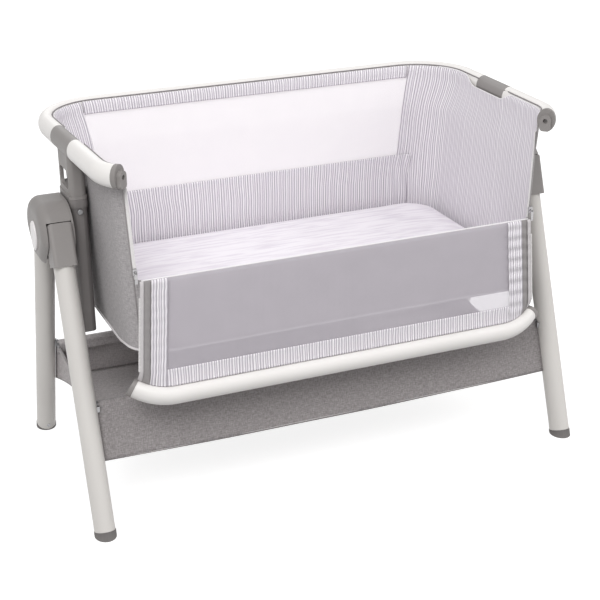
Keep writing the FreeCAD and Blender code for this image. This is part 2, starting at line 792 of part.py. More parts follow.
def drop_rail():
    section = rail_section()
    half = -front_corner_centre().x
    straight = section.copy()
    straight.rotate(origin, z_axis, -90)
    straight.translate(Vector(-half, -rail_front, rail_height))
    straight = straight.extrude(Vector(2 * half, 0, 0))
    end = seam_angle - degrees_round(cap_gap / 2 + cap_length, front_corner_radius)
    corner = drop_corner_sweep(section, 0.0, end)
    return to_lowered(straight.fuse([corner, mirrored(corner)]).removeSplitter())


def drop_rail_cap():
    """Grey end piece of the drop rail, hollowed so that it passes over the boss."""
    end = seam_angle - degrees_round(cap_gap / 2, front_corner_radius)
    start = end - degrees_round(cap_length, front_corner_radius) + 0.02
    cap = drop_corner_sweep(rail_oval(rail_width, rail_tall, cap_lip), start, end)
    pocket = boss_block(boss_clearance, boss_length + boss_clearance, inward=30.0)
    return to_lowered(cap.cut(pocket))


# ---------------------------------------------------------------- tub

def ring_wire(z, half_length, half_depth, front_corner, back_corner):
    """Closed rounded rectangle at height z: four sides and four corner arcs."""
    corners = ((1, -1, front_corner), (1, 1, back_corner), (-1, 1, back_corner), (-1, -1, front_corner))
    arcs = []
    for sx, sy, r in corners:
        centre = Vector(sx * (half_length - r), sy * (half_depth - r), z)
        on_side = centre + Vector(sx * r, 0, 0)
        on_front = centre + Vector(0, sy * r, 0)
        middle = centre + Vector(sx * r, sy * r, 0) * math.sqrt(0.5)
        ends = (on_front, on_side) if sx * sy < 0 else (on_side, on_front)
        arcs.append((ends[0], middle, ends[1]))
    return joined_ring(arcs)


def joined_ring(arcs):
    edges = []
    for index, (start, middle, end) in enumerate(arcs):
        edges.append(Part.Arc(start, middle, end).toShape())
        after = arcs[(index + 1) % len(arcs)][0]
        edges.append(Part.LineSegment(end, after).toShape())
    return Part.Wire(edges)


def tub_share(z):
    return (z - tub_bottom) / (tub_top - tub_bottom)


def tub_ring(z, grow):
    share = tub_share(z)
    half_length = tub_bottom_half_length + (tub_top_half_length - tub_bottom_half_length) * share
    back = tub_back_corner_bottom + (tub_back_corner_top - tub_back_corner_bottom) * share
    return ring_wire(z, half_length + grow, tub_half_depth + grow, tub_front_corner + grow, back + grow)


def rail_ring(z, grow):
    """Ring inside the top rail, where the lining runs up to the groove."""
    inset = rail_width / 2 + lining_rail_gap - grow
    lift = Vector(0, 0, z - rail_height)
    front = corner_centre(-rail_front + lining_corner_radius, lining_corner_radius) + lift
    back = back_corner_centre() + lift
    left_back = corner_arc(back, back_corner_radius - inset, 180 + rail_splay, 90)
    left_front = corner_arc(front, lining_corner_radius - inset, 270, 180 + rail_splay)
    right_front = [Vector(-v.x, v.y, v.z) for v in left_front]
    right_back = [Vector(-v.x, v.y, v.z) for v in left_back]
    return joined_ring([right_front, right_back, left_back[::-1], left_front[::-1]])


def corner_arc(centre, radius, degrees0, degrees1):
    """Start, middle and end point of an arc, by its angles in plan."""
    angles = [math.radians(d) for d in (degrees0, (degrees0 + degrees1) / 2, degrees1)]
    return [centre + Vector(math.cos(a) * radius, math.sin(a) * radius, 0) for a in angles]


def tub_solid(z0, z1, grow):
    return Part.makeLoft([tub_ring(z0, grow), tub_ring(z1, grow)], True, True)


def lining_solid(grow):
    inset = -tub_wall - lining_gap + grow
    floor_z = tub_bottom + tub_wall + board_thick + lining_gap
    rings = [tub_ring(floor_z, inset), tub_ring(tub_top, inset),
             rail_ring(lining_shoulder, grow), rail_ring(lining_top, grow)]
    return Part.makeLoft(rings, True, True)


def zip_x(z):
    """How far out the front edge of the end wall is at height z."""
    share = tub_share(z)
    half_length = tub_bottom_half_length + (tub_top_half_length - tub_bottom_half_length) * share
    return half_length - tub_front_corner * (1 - math.cos(math.radians(tub_zip_angle)))


def front_opening(margin):
    """Everything between the two front edges, as a wedge in front of the tub's middle."""
    top = tub_top + 60
    low = tub_bottom - 20
    points = [Vector(-zip_x(low) + margin, 0, low), Vector(zip_x(low) - margin, 0, low),
              Vector(zip_x(top) - margin, 0, top), Vector(-zip_x(top) + margin, 0, top)]
    face = Part.Face(Part.makePolygon(points + points[:1]))
    wedge = face.extrude(Vector(0, -260, 0))
    wedge.translate(Vector(0, -tub_half_depth + 60, 0))
    return wedge


def end_side(shape, seam):
    """The left end of a tub shell: behind the front edge and outside the back seam."""
    left = shape.common(box(-500, -seam, -300, 300, 0, 700))
    front_left = shape.common(box(-500, -200, -300, -tub_half_depth + 60, 0, 700))
    return left.fuse(front_left).cut(front_opening(0.0)).removeSplitter()


def end_wall():
    floor_z = tub_bottom + tub_wall
    shell = tub_solid(tub_bottom, tub_top, 0.0).cut(tub_solid(floor_z, tub_top + 1, -tub_wall))
    shell = shell.cut(box(-500, 500, -300, 300, 0, floor_z))
    return end_side(shell, side_seam_x + 0.2)


def back_wall():
    shell = tub_solid(tub_bottom, tub_top, 0.0).cut(tub_solid(tub_bottom - 1, tub_top + 1, -tub_wall))
    floor_z = tub_bottom + tub_wall
    band = box(-side_seam_x, side_seam_x, tub_half_depth - 20, 300, floor_z, 700)
    return shell.common(band).cut(window_cutter(0.0, tub_half_depth))


def window_cutter(grow, y):
    """Trapezium window of the back wall with rounded corners, cut along Y."""
    low = back_window_bottom - grow
    high = back_window_top + grow
    bottom = back_window_bottom_half + grow
    top = back_window_top_half + grow
    bottom = min(bottom, side_seam_x - 12.0 + grow)
    top = min(top, side_seam_x - 10.0 + grow)
    points = [Vector(-bottom, 0, low), Vector(bottom, 0, low), Vector(top, 0, high), Vector(-top, 0, high)]
    face = Part.Face(Part.makePolygon(points + points[:1]))
    cutter = face.extrude(Vector(0, 40, 0))
    edges = [e for e in cutter.Edges if abs(e.tangentAt(e.FirstParameter).y) > 0.9]
    cutter = cutter.makeFillet(window_round, edges)
    cutter.translate(Vector(0, y - 20, 0))
    return cutter


def back_net():
    shell_y = tub_half_depth - tub_wall - lining_gap + 0.05
    plate = box(-500, 500, shell_y, shell_y + net_thick * 0.5, 0, 700)
    return plate.common(window_cutter(6.0, tub_half_depth))


def front_wall():
    """Low front wall under the drop panel, with the piping that the panel folds over."""
    shell = tub_solid(tub_bottom, fold_height, 0.0).cut(tub_solid(tub_bottom - 1, fold_height + 1, -tub_wall))
    floor_z = tub_bottom + tub_wall
    wall = shell.common(front_opening(0.3)).common(box(-500, 500, -300, -100, floor_z, fold_height))
    reach = panel_fold_half - 4
    hem = box(-reach, reach, hinge_y, -tub_half_depth + 0.2, fold_height - fold_hem, fold_height)
    bead = Part.makeCylinder(fold_bead_radius, 2 * reach, Vector(-reach, hinge_y, hinge_z), x_axis)
    return wall.fuse([hem.cut(tub_solid(tub_bottom, fold_height + 1, 0.0)), bead]).removeSplitter()


def tub_floor():
    return tub_solid(tub_bottom, tub_bottom + tub_wall - 0.05, 0.0)


def base_board():
    z0 = tub_bottom + tub_wall
    return tub_solid(z0, z0 + board_thick, -tub_wall - 0.6)


def lining_shell():
    """Lining of the tub, one fabric thickness, open at the bottom and the top."""
    return lining_solid(0.0).cut(lining_solid(-lining_thick))


def end_lining():
    """Striped lining of one end, from the board up over the inside of the rail."""
    return end_side(lining_shell(), side_seam_x + 0.2).cut(saddle_dip())


def saddle_dip():
    """Rounded gap in the lining's top edge where it passes below the saddle."""
    top = lining_top + 20
    low_front = saddle_front - lining_dip_margin + lining_dip_slope
    low_back = saddle_back + lining_dip_margin - lining_dip_slope
    rise = lining_dip_slope * (top - lining_dip_bottom) / (lining_top - lining_dip_bottom)
    outline = [(low_front - rise, top), (low_back + rise, top),
               (low_back, lining_dip_bottom), (low_front, lining_dip_bottom)]
    return plate_yz(outline, -rail_half_length, -rail_half_length + 60,
                    [(2, lining_dip_round), (3, lining_dip_round)])


def back_lining():
    shell = lining_shell()
    band = box(-side_seam_x, side_seam_x, tub_half_depth - 30, 300, 0, 700)
    return shell.common(band).cut(window_cutter(0.0, tub_half_depth - 4))


def mattress_ring(z, inset):
    corner = mattress_corner - inset * 0.35
    floor_z = tub_bottom + tub_wall + board_thick
    half_length = tub_bottom_half_length - tub_wall - lining_gap - lining_thick - mattress_gap
    half_depth = tub_half_depth - tub_wall - lining_gap - lining_thick - mattress_gap
    return ring_wire(floor_z + 0.3 + z, half_length - inset, half_depth - inset, corner, corner)


def mattress():
    """Pad with rounded shoulders, sides drawn in along the middle and a crowned top."""
    flat = mattress_thick - mattress_crown
    rings = [mattress_ring(0.0, mattress_shoulder * 0.7), mattress_ring(flat * 0.2, 0.0),
             mattress_ring(flat * 0.5, mattress_waist), mattress_ring(flat * 0.82, 0.0),
             mattress_ring(flat, mattress_shoulder * 0.7),
             mattress_ring(flat + mattress_crown * 0.6, mattress_shoulder * 4.0),
             mattress_ring(mattress_thick, mattress_shoulder * 11.0)]
    return Part.makeLoft(rings, True, True)


# ---------------------------------------------------------------- drop panel

def panel_y():
    """Middle plane of the lowered panel."""
    return hinge_y - panel_forward


def panel_half(z):
    top = hinge_z - panel_fold_gap
    return panel_fold_half + (panel_rail_half - panel_fold_half) * (top - z) / (top - panel_foot)


def panel_sheet(inset_side, z0, z1, thick):
    """Upright trapezium sheet in the panel's plane, inset from its side edges."""
    points = [Vector(-panel_half(z0) + inset_side, 0, z0), Vector(panel_half(z0) - inset_side, 0, z0),
              Vector(panel_half(z1) - inset_side, 0, z1), Vector(-panel_half(z1) + inset_side, 0, z1)]
    face = Part.Face(Part.makePolygon(points + points[:1]))
    sheet = face.extrude(Vector(0, thick, 0))
    sheet.translate(Vector(0, panel_y() - thick / 2, 0))
    return sheet


def panel_corner_points(y, drop):
    """Lower right corner of the panel, from the foot edge to beyond the side edge."""
    side = panel_rail_half + 20
    high = panel_foot + panel_corner_rise - drop
    return [Vector(panel_corner_x, y, panel_foot - drop), Vector(panel_corner_x + panel_corner_run, y, high),
            Vector(side, y, high)]


def panel_corner_cut(drop):
    """Wedges that take the two lower corners off the panel."""
    y = panel_y() - 4 * panel_thick
    points = panel_corner_points(y, drop) + [Vector(panel_rail_half + 20, y, panel_foot - 20),
                                             Vector(panel_corner_x, y, panel_foot - 20)]
    wedge = Part.Face(Part.makePolygon(points + points[:1])).extrude(Vector(0, 8 * panel_thick, 0))
    return wedge.fuse(mirrored(wedge))


def panel_edges():
    return panel_foot, hinge_z - panel_fold_gap


def drop_panel():
    """Striped border of the drop side, with the opening for its net."""
    bottom, top = panel_edges()
    border = panel_sheet(zip_strip, bottom, top, panel_thick)
    window = panel_sheet(panel_window_side, bottom + panel_window_foot, top - 1.5, panel_thick + 2)
    edges = [e for e in window.Edges if abs(e.tangentAt(e.FirstParameter).y) > 0.9]
    return border.cut(window.makeFillet(5.0, edges)).cut(panel_corner_cut(0.0))


def drop_hem():
    """Striped band between the net border and the drop rail's groove, which it follows round."""
    tilt = math.sin(math.radians(drop_rail_tilt))
    radius = front_corner_radius - groove_inset
    half = -front_corner_centre().x
    angle = math.radians(seam_angle - 5)
    base = hang_z + panel_rail_gap
    ends = [(half + radius * math.sin(a), base + radius * (1 - math.cos(a)) * tilt) for a in (angle / 2, angle)]
    side = panel_half(panel_foot)
    y = panel_y() - panel_thick / 2
    low, high = panel_corner_points(y, 0.3)[:2]
    right = [Vector(half, y, base), Vector(ends[0][0], y, ends[0][1]), Vector(ends[1][0], y, ends[1][1])]
    left = [Vector(-v.x, v.y, v.z) for v in right]
    rim = [right[2], Vector(side, y, high.z), high, low]
    rim = rim + [Vector(-v.x, v.y, v.z) for v in rim[::-1]]
    edges = [Part.LineSegment(left[0], right[0]), Part.Arc(*right), Part.Arc(left[2], left[1], left[0])]
    edges = edges[:2] + [Part.LineSegment(a, b) for a, b in zip(rim, rim[1:])] + edges[2:]
    outline = Part.Wire([edge.toShape() for edge in edges])
    return Part.Face(outline).extrude(Vector(0, panel_thick, 0))


def drop_net():
    bottom, top = panel_edges()
    net = panel_sheet(panel_window_side - 5, bottom + panel_window_foot - 1, top - 0.5, net_thick)
    net.translate(Vector(0, (panel_thick + net_thick) / 2 + 0.05, 0))
    return net


def panel_zip_tape():
    bottom, top = panel_edges()
    whole = panel_sheet(0.0, bottom, top, zip_thick)
    middle = panel_sheet(zip_strip - 0.1, bottom - 1, top + 1, zip_thick + 2)
    return whole.cut(middle).cut(panel_corner_cut(0.0)).common(box(-500, 0, -300, 0, 0, 700))


def zip_point(z):
    """Front edge of the left end wall at height z."""
    angle = math.radians(tub_zip_angle)
    y = -tub_half_depth + tub_front_corner * (1 - math.sin(angle))
    return Vector(-zip_x(z), y, z)


def edge_tape():
    """White zip tape along the front edge of the end wall."""
    start = zip_point(fold_height + 1.0) + Vector(1.2, -1.2, 0)
    end = zip_point(tub_top - 3) + Vector(1.2, -1.2, 0)
    direction = end - start
    length = direction.Length
    tape = Part.makeBox(zip_strip * 0.6, zip_thick, length, Vector(0.0, -zip_thick, 0))
    tape.rotate(origin, z_axis, -30)
    tape.rotate(origin, y_axis, math.degrees(math.atan2(direction.x, direction.z)))
    tape.translate(start)
    return tape


def zip_slider():
    """Slider body with its bridge, at the fold when the side is down."""
    base = zip_point(hinge_z + 8.0) + Vector(2.0, -zip_out - 2.5, 0)
    body = Part.makeBox(slider_width, slider_thick, slider_tall,
                        base + Vector(-slider_width / 2, -slider_thick / 2, 0))
    body = body.makeFillet(1.4, body.Edges)
    bridge = Part.makeCylinder(2.6, 2.0, base + Vector(-1.0, -slider_thick / 2, slider_tall / 2), x_axis)
    eye = Part.makeCylinder(1.3, 6.0, base + Vector(-3.0, -slider_thick / 2 - 0.6, slider_tall / 2), x_axis)
    return body.fuse(bridge).cut(eye)


def zip_pull():
    """Tongue of the slider, hanging from its bridge."""
    base = zip_point(hinge_z + 8.0) + Vector(2.0, -zip_out - 2.5, 0)
    ring_centre = base + Vector(0, -slider_thick / 2 - 0.6, slider_tall / 2)
    y = ring_centre.y - pull_thick - 2.3
    tongue = Part.makeBox(pull_width, pull_thick, pull_length,
                          Vector(base.x - pull_width / 2, y, ring_centre.z - pull_length - 1.5))
    tongue = tongue.makeFillet(0.7, tongue.Edges)
    pin = Part.makeCylinder(0.9, pull_width, Vector(base.x - pull_width / 2, ring_centre.y, ring_centre.z),
                            x_axis)
    arms = [Part.makeBox(1.2, ring_centre.y - y + 0.4, 2.4,
                         Vector(base.x + side, y, ring_centre.z - 2.9)) for side in (-2.5, 1.3)]
    drop = [Part.makeBox(1.2, 1.3, 3.2, Vector(base.x + side, ring_centre.y - 0.9, ring_centre.z - 2.9))
            for side in (-2.5, 1.3)]
    return tongue.fuse([pin] + arms + drop).removeSplitter()


# ---------------------------------------------------------------- storage basket

def leg_line_y(z):
    return foot_half_spread * (1.0 - z / leg_apex_height)


def basket_half_length():
    return leg_centre_x - leg_width / 2 - basket_end_gap


def basket_side(thick):
    """Rear panel of the basket in the plane of the rear legs."""
    half = basket_half_length()
    outline = [(leg_line_y(basket_bottom), basket_bottom),
               (leg_line_y(basket_top), basket_top),
               (leg_line_y(basket_top) - thick, basket_top),
               (leg_line_y(basket_bottom) - thick, basket_bottom)]
    return plate_yz(outline, -half, half)


def basket_floor():
    half = basket_half_length()
    depth = leg_line_y(basket_bottom) - basket_fabric - 1.0
    return box(-half, half, -depth, depth, basket_bottom, basket_bottom + basket_fabric)


def basket_end():
    """End panel of the basket between the front and rear legs."""
    x0 = -basket_half_length()
    low = basket_bottom + basket_fabric + 0.1
    inset = basket_fabric + 1.0
    outline = [(-leg_line_y(low) + inset, low), (leg_line_y(low) - inset, low),
               (leg_line_y(basket_top) - inset, basket_top), (-leg_line_y(basket_top) + inset, basket_top)]
    y, z = basket_rail_line()
    hole = Part.makeCylinder(basket_flange_radius + 0.5, 2 * basket_fabric, Vector(x0 - 1, y, z), x_axis)
    bracket_space = box(x0 - 1, x0 + 2 * basket_fabric, y, y + 60, z - 5.5, basket_top + 1)
    space = hole.fuse(bracket_space)
    return plate_yz(outline, x0, x0 + basket_fabric).cut(space).cut(flipped_depth(space))


def basket_rail_line():
    """Y and Z of the rear cross tube's middle."""
    z = basket_top - basket_rail_radius - 1.0
    return leg_line_y(z) - basket_fabric - basket_rail_radius - 0.9, z


def basket_rail():
    """Cross tube in the top hem of the rear panel."""
    half = leg_centre_x - leg_width / 2 - 0.2
    y, z = basket_rail_line()
    start = Vector(-half + 4.0, y, z)
    length = 2 * (half - 4.0)
    tube = Part.makeCylinder(basket_rail_radius, length, start, x_axis)
    bore = Part.makeCylinder(basket_rail_radius - basket_rail_wall, length, start, x_axis)
    return tube.cut(bore)


def basket_bracket():
    """Plug that carries the end of the rear cross tube on the rear leg."""
    half = leg_centre_x - leg_width / 2
    y, z = basket_rail_line()
    flange = Part.makeCylinder(basket_flange_radius, 3.9, Vector(-half + 0.05, y, z), x_axis)
    plug = Part.makeCylinder(basket_rail_radius - basket_rail_wall - 0.1, 24.0, Vector(-half + 0.05, y, z),
                             x_axis)
    arm = box(-half - 4.0, -half + 3.9, y, y + basket_rail_radius + 8.0, z - 5.0, z + 5.0)
    leg_space = leg_bar(leg_width + 0.1, leg_depth + 0.1, 0, along_leg(basket_top + 50))
    panel_space = basket_side(basket_fabric + 0.4)
    return flange.fuse([plug, arm]).cut(leg_space).cut(panel_space)


# ---------------------------------------------------------------- all pieces

def column_screw():
    y = -column_depth / 2 - collar_proud
    return screw(Vector(-column_x, y, column_screw_height), y_axis * -1, column_wall + collar_proud)


def write_parts():
    os.makedirs("parts", exist_ok=True)
    rear_foot = foot()
    bracket = basket_bracket()
    pairs = {
        "rear_leg": rear_leg(), "front_leg": front_leg(),
        "hub_housing": hub_housing(), "hub_cover": hub_cover(),
        "front_leg_sleeve": leg_sleeve(), "release_button": release_button(),
        "lower_column": lower_column(),
        "slide_tube": slide_tube(), "upper_column": upper_column(), "saddle": saddle(),
        "front_end_rail": front_end_rail(), "rail_end_cap": rail_end_cap(),
        "drop_rail_cap": drop_rail_cap(), "end_wall": end_wall(), "end_lining": end_lining(),
        "zip_slider": zip_slider(), "zip_pull": zip_pull(), "basket_end": basket_end(),
    }
    for name, left in pairs.items():
        save_pair(name, left)
    groups = {
        "rear_feet": rear_foot, "front_feet": flipped_depth(rear_foot), "fold_pins": fold_pin(),
        "button_springs": button_spring(), "edge_zip_tapes": edge_tape(),
        "panel_zip_tapes": panel_zip_tape(), "column_screws": column_screw(),
    }
    for name, left in groups.items():
        save(name, Part.makeCompound([left, mirrored(left)]))
    rear_side = basket_side(basket_fabric)
    singles = {
        "back_rail": back_rail(), "drop_rail": drop_rail(), "back_wall": back_wall(),
        "back_lining": back_lining(), "back_net": back_net(), "front_wall": front_wall(),
        "tub_floor": tub_floor(), "base_board": base_board(), "mattress": mattress(),
        "drop_panel": drop_panel(), "drop_net": drop_net(), "drop_hem": drop_hem(),
        "basket_rear": rear_side,
        "basket_front": flipped_depth(rear_side), "basket_floor": basket_floor(),
    }
    for name, shape in singles.items():
        save(name, shape)
    rear_rail = Part.makeCompound([basket_rail(), bracket, mirrored(bracket)])
    save("basket_rear_rail", rear_rail)
    save("basket_front_rail", flipped_depth(rear_rail))


write_parts()
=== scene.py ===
"""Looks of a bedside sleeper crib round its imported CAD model. Sizes here are in millimetres."""

import json
import math

import bpy
import numpy as np
from mathutils import Matrix, Vector


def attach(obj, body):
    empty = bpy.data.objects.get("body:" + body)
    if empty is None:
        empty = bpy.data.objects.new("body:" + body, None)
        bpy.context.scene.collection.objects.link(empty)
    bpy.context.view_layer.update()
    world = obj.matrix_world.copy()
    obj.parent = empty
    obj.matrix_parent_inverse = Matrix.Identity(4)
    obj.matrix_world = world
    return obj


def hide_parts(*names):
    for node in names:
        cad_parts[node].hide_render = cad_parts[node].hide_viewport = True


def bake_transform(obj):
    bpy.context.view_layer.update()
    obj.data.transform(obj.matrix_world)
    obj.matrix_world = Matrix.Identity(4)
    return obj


MM = 0.001

# ---- camera, solved from the feet, legs, rail ends and hinge points in the photograph ----
CAMERA_AZIMUTH = -22.2584
CAMERA_ELEVATION = 22.4178
CAMERA_ROLL = -0.94596
CAMERA_DISTANCE = 2488.634
CAMERA_AIM = np.array([0.0, 0.0, 400.0])
CAMERA_SLIDE = (-6.21735, 124.05448)     # picture moved right and up, at the aim point
CAMERA_FOCAL_PIXELS = 1384.948
PICTURE_PIXELS = 600
SENSOR = 36.0

# ---- tub ----
TUB_BOTTOM = 306.0
TUB_TOP = 585.0
TUB_HALF_LENGTH = (368.0, 382.0)         # at the bottom and at the top
TUB_HALF_DEPTH = 207.0
TUB_FRONT_CORNER = 42.0
TUB_BACK_CORNER = (66.0, 84.0)
ZIP_ANGLE = 50.0                         # front edge of the end walls, round the front corner
SIDE_SEAM = 300.0                        # sewn seam between end and back
CORNER_LIFT = 8.0                        # the bottom edge is drawn up at the two front corners
LIFT_FROM = (312.0, 118.0)               # |x| and -y where the lift starts
LIFT_EASE = (34.0, 60.0)                 # and how far on it is whole
LIFT_FADE = 70.0                         # height over which it dies away
FABRIC = 1.0
WALL_INSET = 0.6                         # cloth's middle below the wall's outer face
WALL_PROUD = 1.4                         # and how far it comes out under the rail
WALL_TOP = (583.0, 17.0)                 # under the column's face, and how much higher elsewhere
JOIN_GAP = 0.00002                       # points nearer than this are one, metres

# ---- top rail ----
RAIL_HEIGHT = 612.0
RAIL_HALF_LENGTH = 402.0
RAIL_BACK = 226.0
RAIL_SPLAY = 2.0
RAIL_FRONT_CENTRE_Y = -161.545
RAIL_FRONT_CORNER = 74.0
RAIL_BACK_CORNER = 107.0
RAIL_HALF_WIDTH = 14.75
RAIL_HALF_TALL = 18.75
RAIL_SHOULDER = 602.0
GROOVE_INSET = 10.6
GROOVE_Z = 626.4
SHADE_BEAD_GAP = (1.36, 1.77)                  # places along an end between which the saddle hides the groove's dark bead, which is painted shade
# radius of that dark bead, which is painted shade standing in for the shadow in the rail's groove
SHADE_BEAD_RADIUS = 1.1
EDGE_BACK = 624.6                        # lining's top edge, just under the rail's groove
EDGE_END = 623.8
EDGE_SADDLE = 611.0
DIP_FRONT = (-82.0, -46.0)               # where the edge starts to fall and where it is lowest
DIP_BACK = (100.0, 50.0)
SADDLE_BULGE = 3.4
RAIL_ZIP_ANGLE = 41.0
LEAN_START = 548.0                       # height where the walls start to lean out to the rail
LINING_START = 0.18                      # share of the front corner where the lining begins
COLUMN_FACE = 52.0                       # half the breadth kept clear of the column
COLUMN_EASE = 14.0

# ---- linings, windows and mattress ----
LINING_INSET = 3.2
LINING_GAP = 1.4
LINING_FLOOR = 316.0
WINDOW_BOTTOM = 448.0
WINDOW_TOP = 602.5
WINDOW_HALF = (301.0, 321.0)             # at the window's bottom and top
BAND_OVERLAP = 26.0                      # lower band sewn past the window's side
BAND_TOP = 2.0
BAND_FOLDS = (268.0, 40.0)               # where the band's small folds start, and whole this far on
RIM_TOP = 603.0                          # grey cloth above the window, behind the lining
STRIPE_REPEAT = 18.0
PIPING = 1.1                             # radii of the piped and bound edges
TUB_PIPING = 2.2
FOLD_PIPING = 1.2
FRONT_PIPING = 0.8
BINDING = 2.0
PIPED_SAMPLES = 90                       # of end_samples: the piping stops on the back corner
PAD_CELL = 0.006                         # metres
PAD_SWELL = 3.0

# ---- drop side, lowered ----
HINGE_Y = -211.0
HINGE_Z = 437.5
BEAD = 2.0
PANEL_Y = -214.8
PANEL_FOLD_HALF = 354.0
PANEL_RAIL_HALF = 364.0
PANEL_FOOT = 276.0
GROOVE_Y = -216.3                        # fabric groove of the lowered rail
LOWERED_GROOVE_Z = 248.01
GROOVE_STRAIGHT = 304.1
GROOVE_CORNER = 90.0
RAIL_TILT = 45.0
TAPE_WIDTH = 6.5
GREY_WIDTH = 17.0
BORDER_WIDTH = 46.0
NET_OVERLAP = 9.0
RAIL_TURN = 26.0                         # height over which the panel curves into the rail's groove
FOLD_TURN = 6.0
PUCKER_LENGTH = 21.0                     # of the small ripples along the panel's side strips
HEM_STITCH = 13.0
NET_CREASE = (12.0, 5.0, 0.9)            # place, half breadth and depth
NET_BELLY = 0.8
NET_BEHIND = 1.6                         # net's place behind the border that is sewn over it
SLIDER_ROOM = 26.0                       # no teeth here, where the closed panel meets the slider

# ---- basket ----
FOOT_SPREAD = 216.6
LEG_APEX = 638.0
LEG_X = 440.0
LEG_HALF_DEPTH = 20.5
BASKET_HALF = 421.7
BASKET_TOP = 207.0
BASKET_BOTTOM = 115.0
BASKET_RAIL = 6.0
BASKET_SAG = 5.0
BASKET_BOW = 24.0                        # the ends are pulled inwards between the legs
BASKET_HOLLOW = 52.0
BASKET_CLOTH = 1.2                       # basket cloth's middle inside its outer face
BASKET_HEM = 20.0
SCREW_HEIGHT = 18.0
SCREW_PROFILE = ((0.0, 1.1), (1.3, 1.1), (1.5, 1.7), (2.9, 1.5), (3.5, 0.9), (3.7, 0.0))

# ---- studio ----
FLOOR_REACH = 30000.0
FLOOR_DROP = 0.2
FLOOR_GLOW = 0.78
SURROUND = 0.68
LIGHT_AIM = (0.0, 0.0, 0.4)              # metres, as all places of lights are

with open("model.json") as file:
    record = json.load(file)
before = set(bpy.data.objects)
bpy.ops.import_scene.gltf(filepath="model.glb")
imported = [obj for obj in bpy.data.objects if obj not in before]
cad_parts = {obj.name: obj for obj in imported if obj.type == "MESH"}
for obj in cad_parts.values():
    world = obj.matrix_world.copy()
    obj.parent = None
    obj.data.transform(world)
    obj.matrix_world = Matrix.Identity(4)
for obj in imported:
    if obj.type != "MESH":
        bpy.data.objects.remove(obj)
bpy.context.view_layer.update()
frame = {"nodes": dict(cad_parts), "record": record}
nodes = frame["nodes"]


# ---------------------------------------------------------------- materials

MULTIPLY = {"operation": "MULTIPLY"}
ADD = {"operation": "ADD"}
COLOURS = {"data_type": "RGBA"}          # a Mix node's colour sockets are 6 and 7 in, 2 out


def linear(hex_colour):
    """sRGB hex to linear RGBA."""
    channels = [int(hex_colour[i:i + 2], 16) / 255 for i in (1, 3, 5)]
    return [c / 12.92 if c <= 0.04045 else ((c + 0.055) / 1.055) ** 2.4 for c in channels] + [1.0]


def add(tree, kind, inputs=None, settings=None, output=0):
    """Adds one node, sets its properties, and gives its sockets a value or a link. It returns one of
    the node's outputs, or the node itself where output is None."""
    made = tree.nodes.new("ShaderNode" + kind)
    for name, value in (settings or {}).items():
        setattr(made, name, value)
    for name, value in (inputs or {}).items():
        if isinstance(value, bpy.types.NodeSocket):
            tree.links.new(value, made.inputs[name])
        else:
            made.inputs[name].default_value = value
    return made if output is None else made.outputs[output]


def begin(name):
    """An empty node material and its tree."""
    made = bpy.data.materials.new(name)
    made.use_nodes = True
    made.node_tree.nodes.clear()
    return made, made.node_tree


def finished(made, height, strength, depth, looks):
    """Closes a material: a Principled surface with a bump from a height, its depth in metres."""
    tree = made.node_tree
    normal = add(tree, "Bump", {"Height": height, "Strength": strength, "Distance": depth})
    shader = add(tree, "BsdfPrincipled", {**looks, "Normal": normal})
    add(tree, "OutputMaterial", {"Surface": shader}, output=None)
    return made


def clouded(tree, place, scale, detail, hex_colour, shade):
    """Slow noise, and the colour that it moves between two near ones."""
    share = add(tree, "TexNoise", {"Vector": place, "Scale": scale, "Detail": detail})
    return share, add(tree, "Mix", {0: share, 6: linear(hex_colour), 7: linear(shade)}, COLOURS, 2)


def coated_metal(name, hex_colour, shade):
    """Steel tube with polyester powder coat, sprayed and baked: satin, with a faint orange peel."""
    made, tree = begin(name)
    place = add(tree, "TexCoord", output="Object")
    cloudy, colour = clouded(tree, place, 1 / 0.12, 2.0, hex_colour, shade)
    peel = add(tree, "TexNoise", {"Vector": place, "Scale": 1 / 0.0022, "Detail": 1.0})
    rough = add(tree, "MapRange", {"Value": cloudy, "To Min": 0.36, "To Max": 0.46})
    return finished(made, peel, 0.12, 0.0004, {"Base Color": colour, "Roughness": rough, "IOR": 1.5})


def moulded_plastic(name, hex_colour, shade, grain_mm, roughness):
    """Moulded plastic or rubber, or pressed board, named by its caller: the mould's fine grain, a little
    paler on worn high spots."""
    made, tree = begin(name)
    place = add(tree, "TexCoord", output="Object")
    grain = add(tree, "TexNoise", {"Vector": place, "Scale": 1 / (grain_mm * MM), "Detail": 3.0})
    cloudy, colour = clouded(tree, place, 1 / 0.05, 3.0, hex_colour, shade)
    edge = add(tree, "NewGeometry", output="Pointiness")
    worn = add(tree, "MapRange", {"Value": edge, "From Min": 0.52, "From Max": 0.62, "To Max": 0.25})
    rough = {"Value": cloudy, "To Min": roughness - 0.05, "To Max": roughness + 0.05}
    return finished(made, grain, 0.25, 0.0003, {
        "Base Color": add(tree, "Mix", {0: worn, 6: colour, 7: linear("#A5A09E")}, COLOURS, 2),
        "Roughness": add(tree, "MapRange", rough), "IOR": 1.49})


def plated_steel(name, hex_colour):
    """Plated metal, drawn or cast: fine lines along its length."""
    made, tree = begin(name)
    place = add(tree, "TexCoord", output="Object")
    stretched = add(tree, "Mapping", {"Vector": place, "Scale": (20.0, 900.0, 900.0)})
    lines, colour = clouded(tree, stretched, 1.0, 2.0, hex_colour, "#8E8E90")
    rough = add(tree, "MapRange", {"Value": lines, "To Min": 0.25, "To Max": 0.42})
    return finished(made, lines, 0.1, 0.0002, {"Base Color": colour, "Roughness": rough, "Metallic": 1.0})


def wave(tree, position, turn, operation="SINE"):
    """A wave along one coordinate, which goes through turn radians to each unit."""
    angle = add(tree, "Math", {0: position, 1: turn}, MULTIPLY)
    return add(tree, "Math", {0: angle}, {"operation": operation})


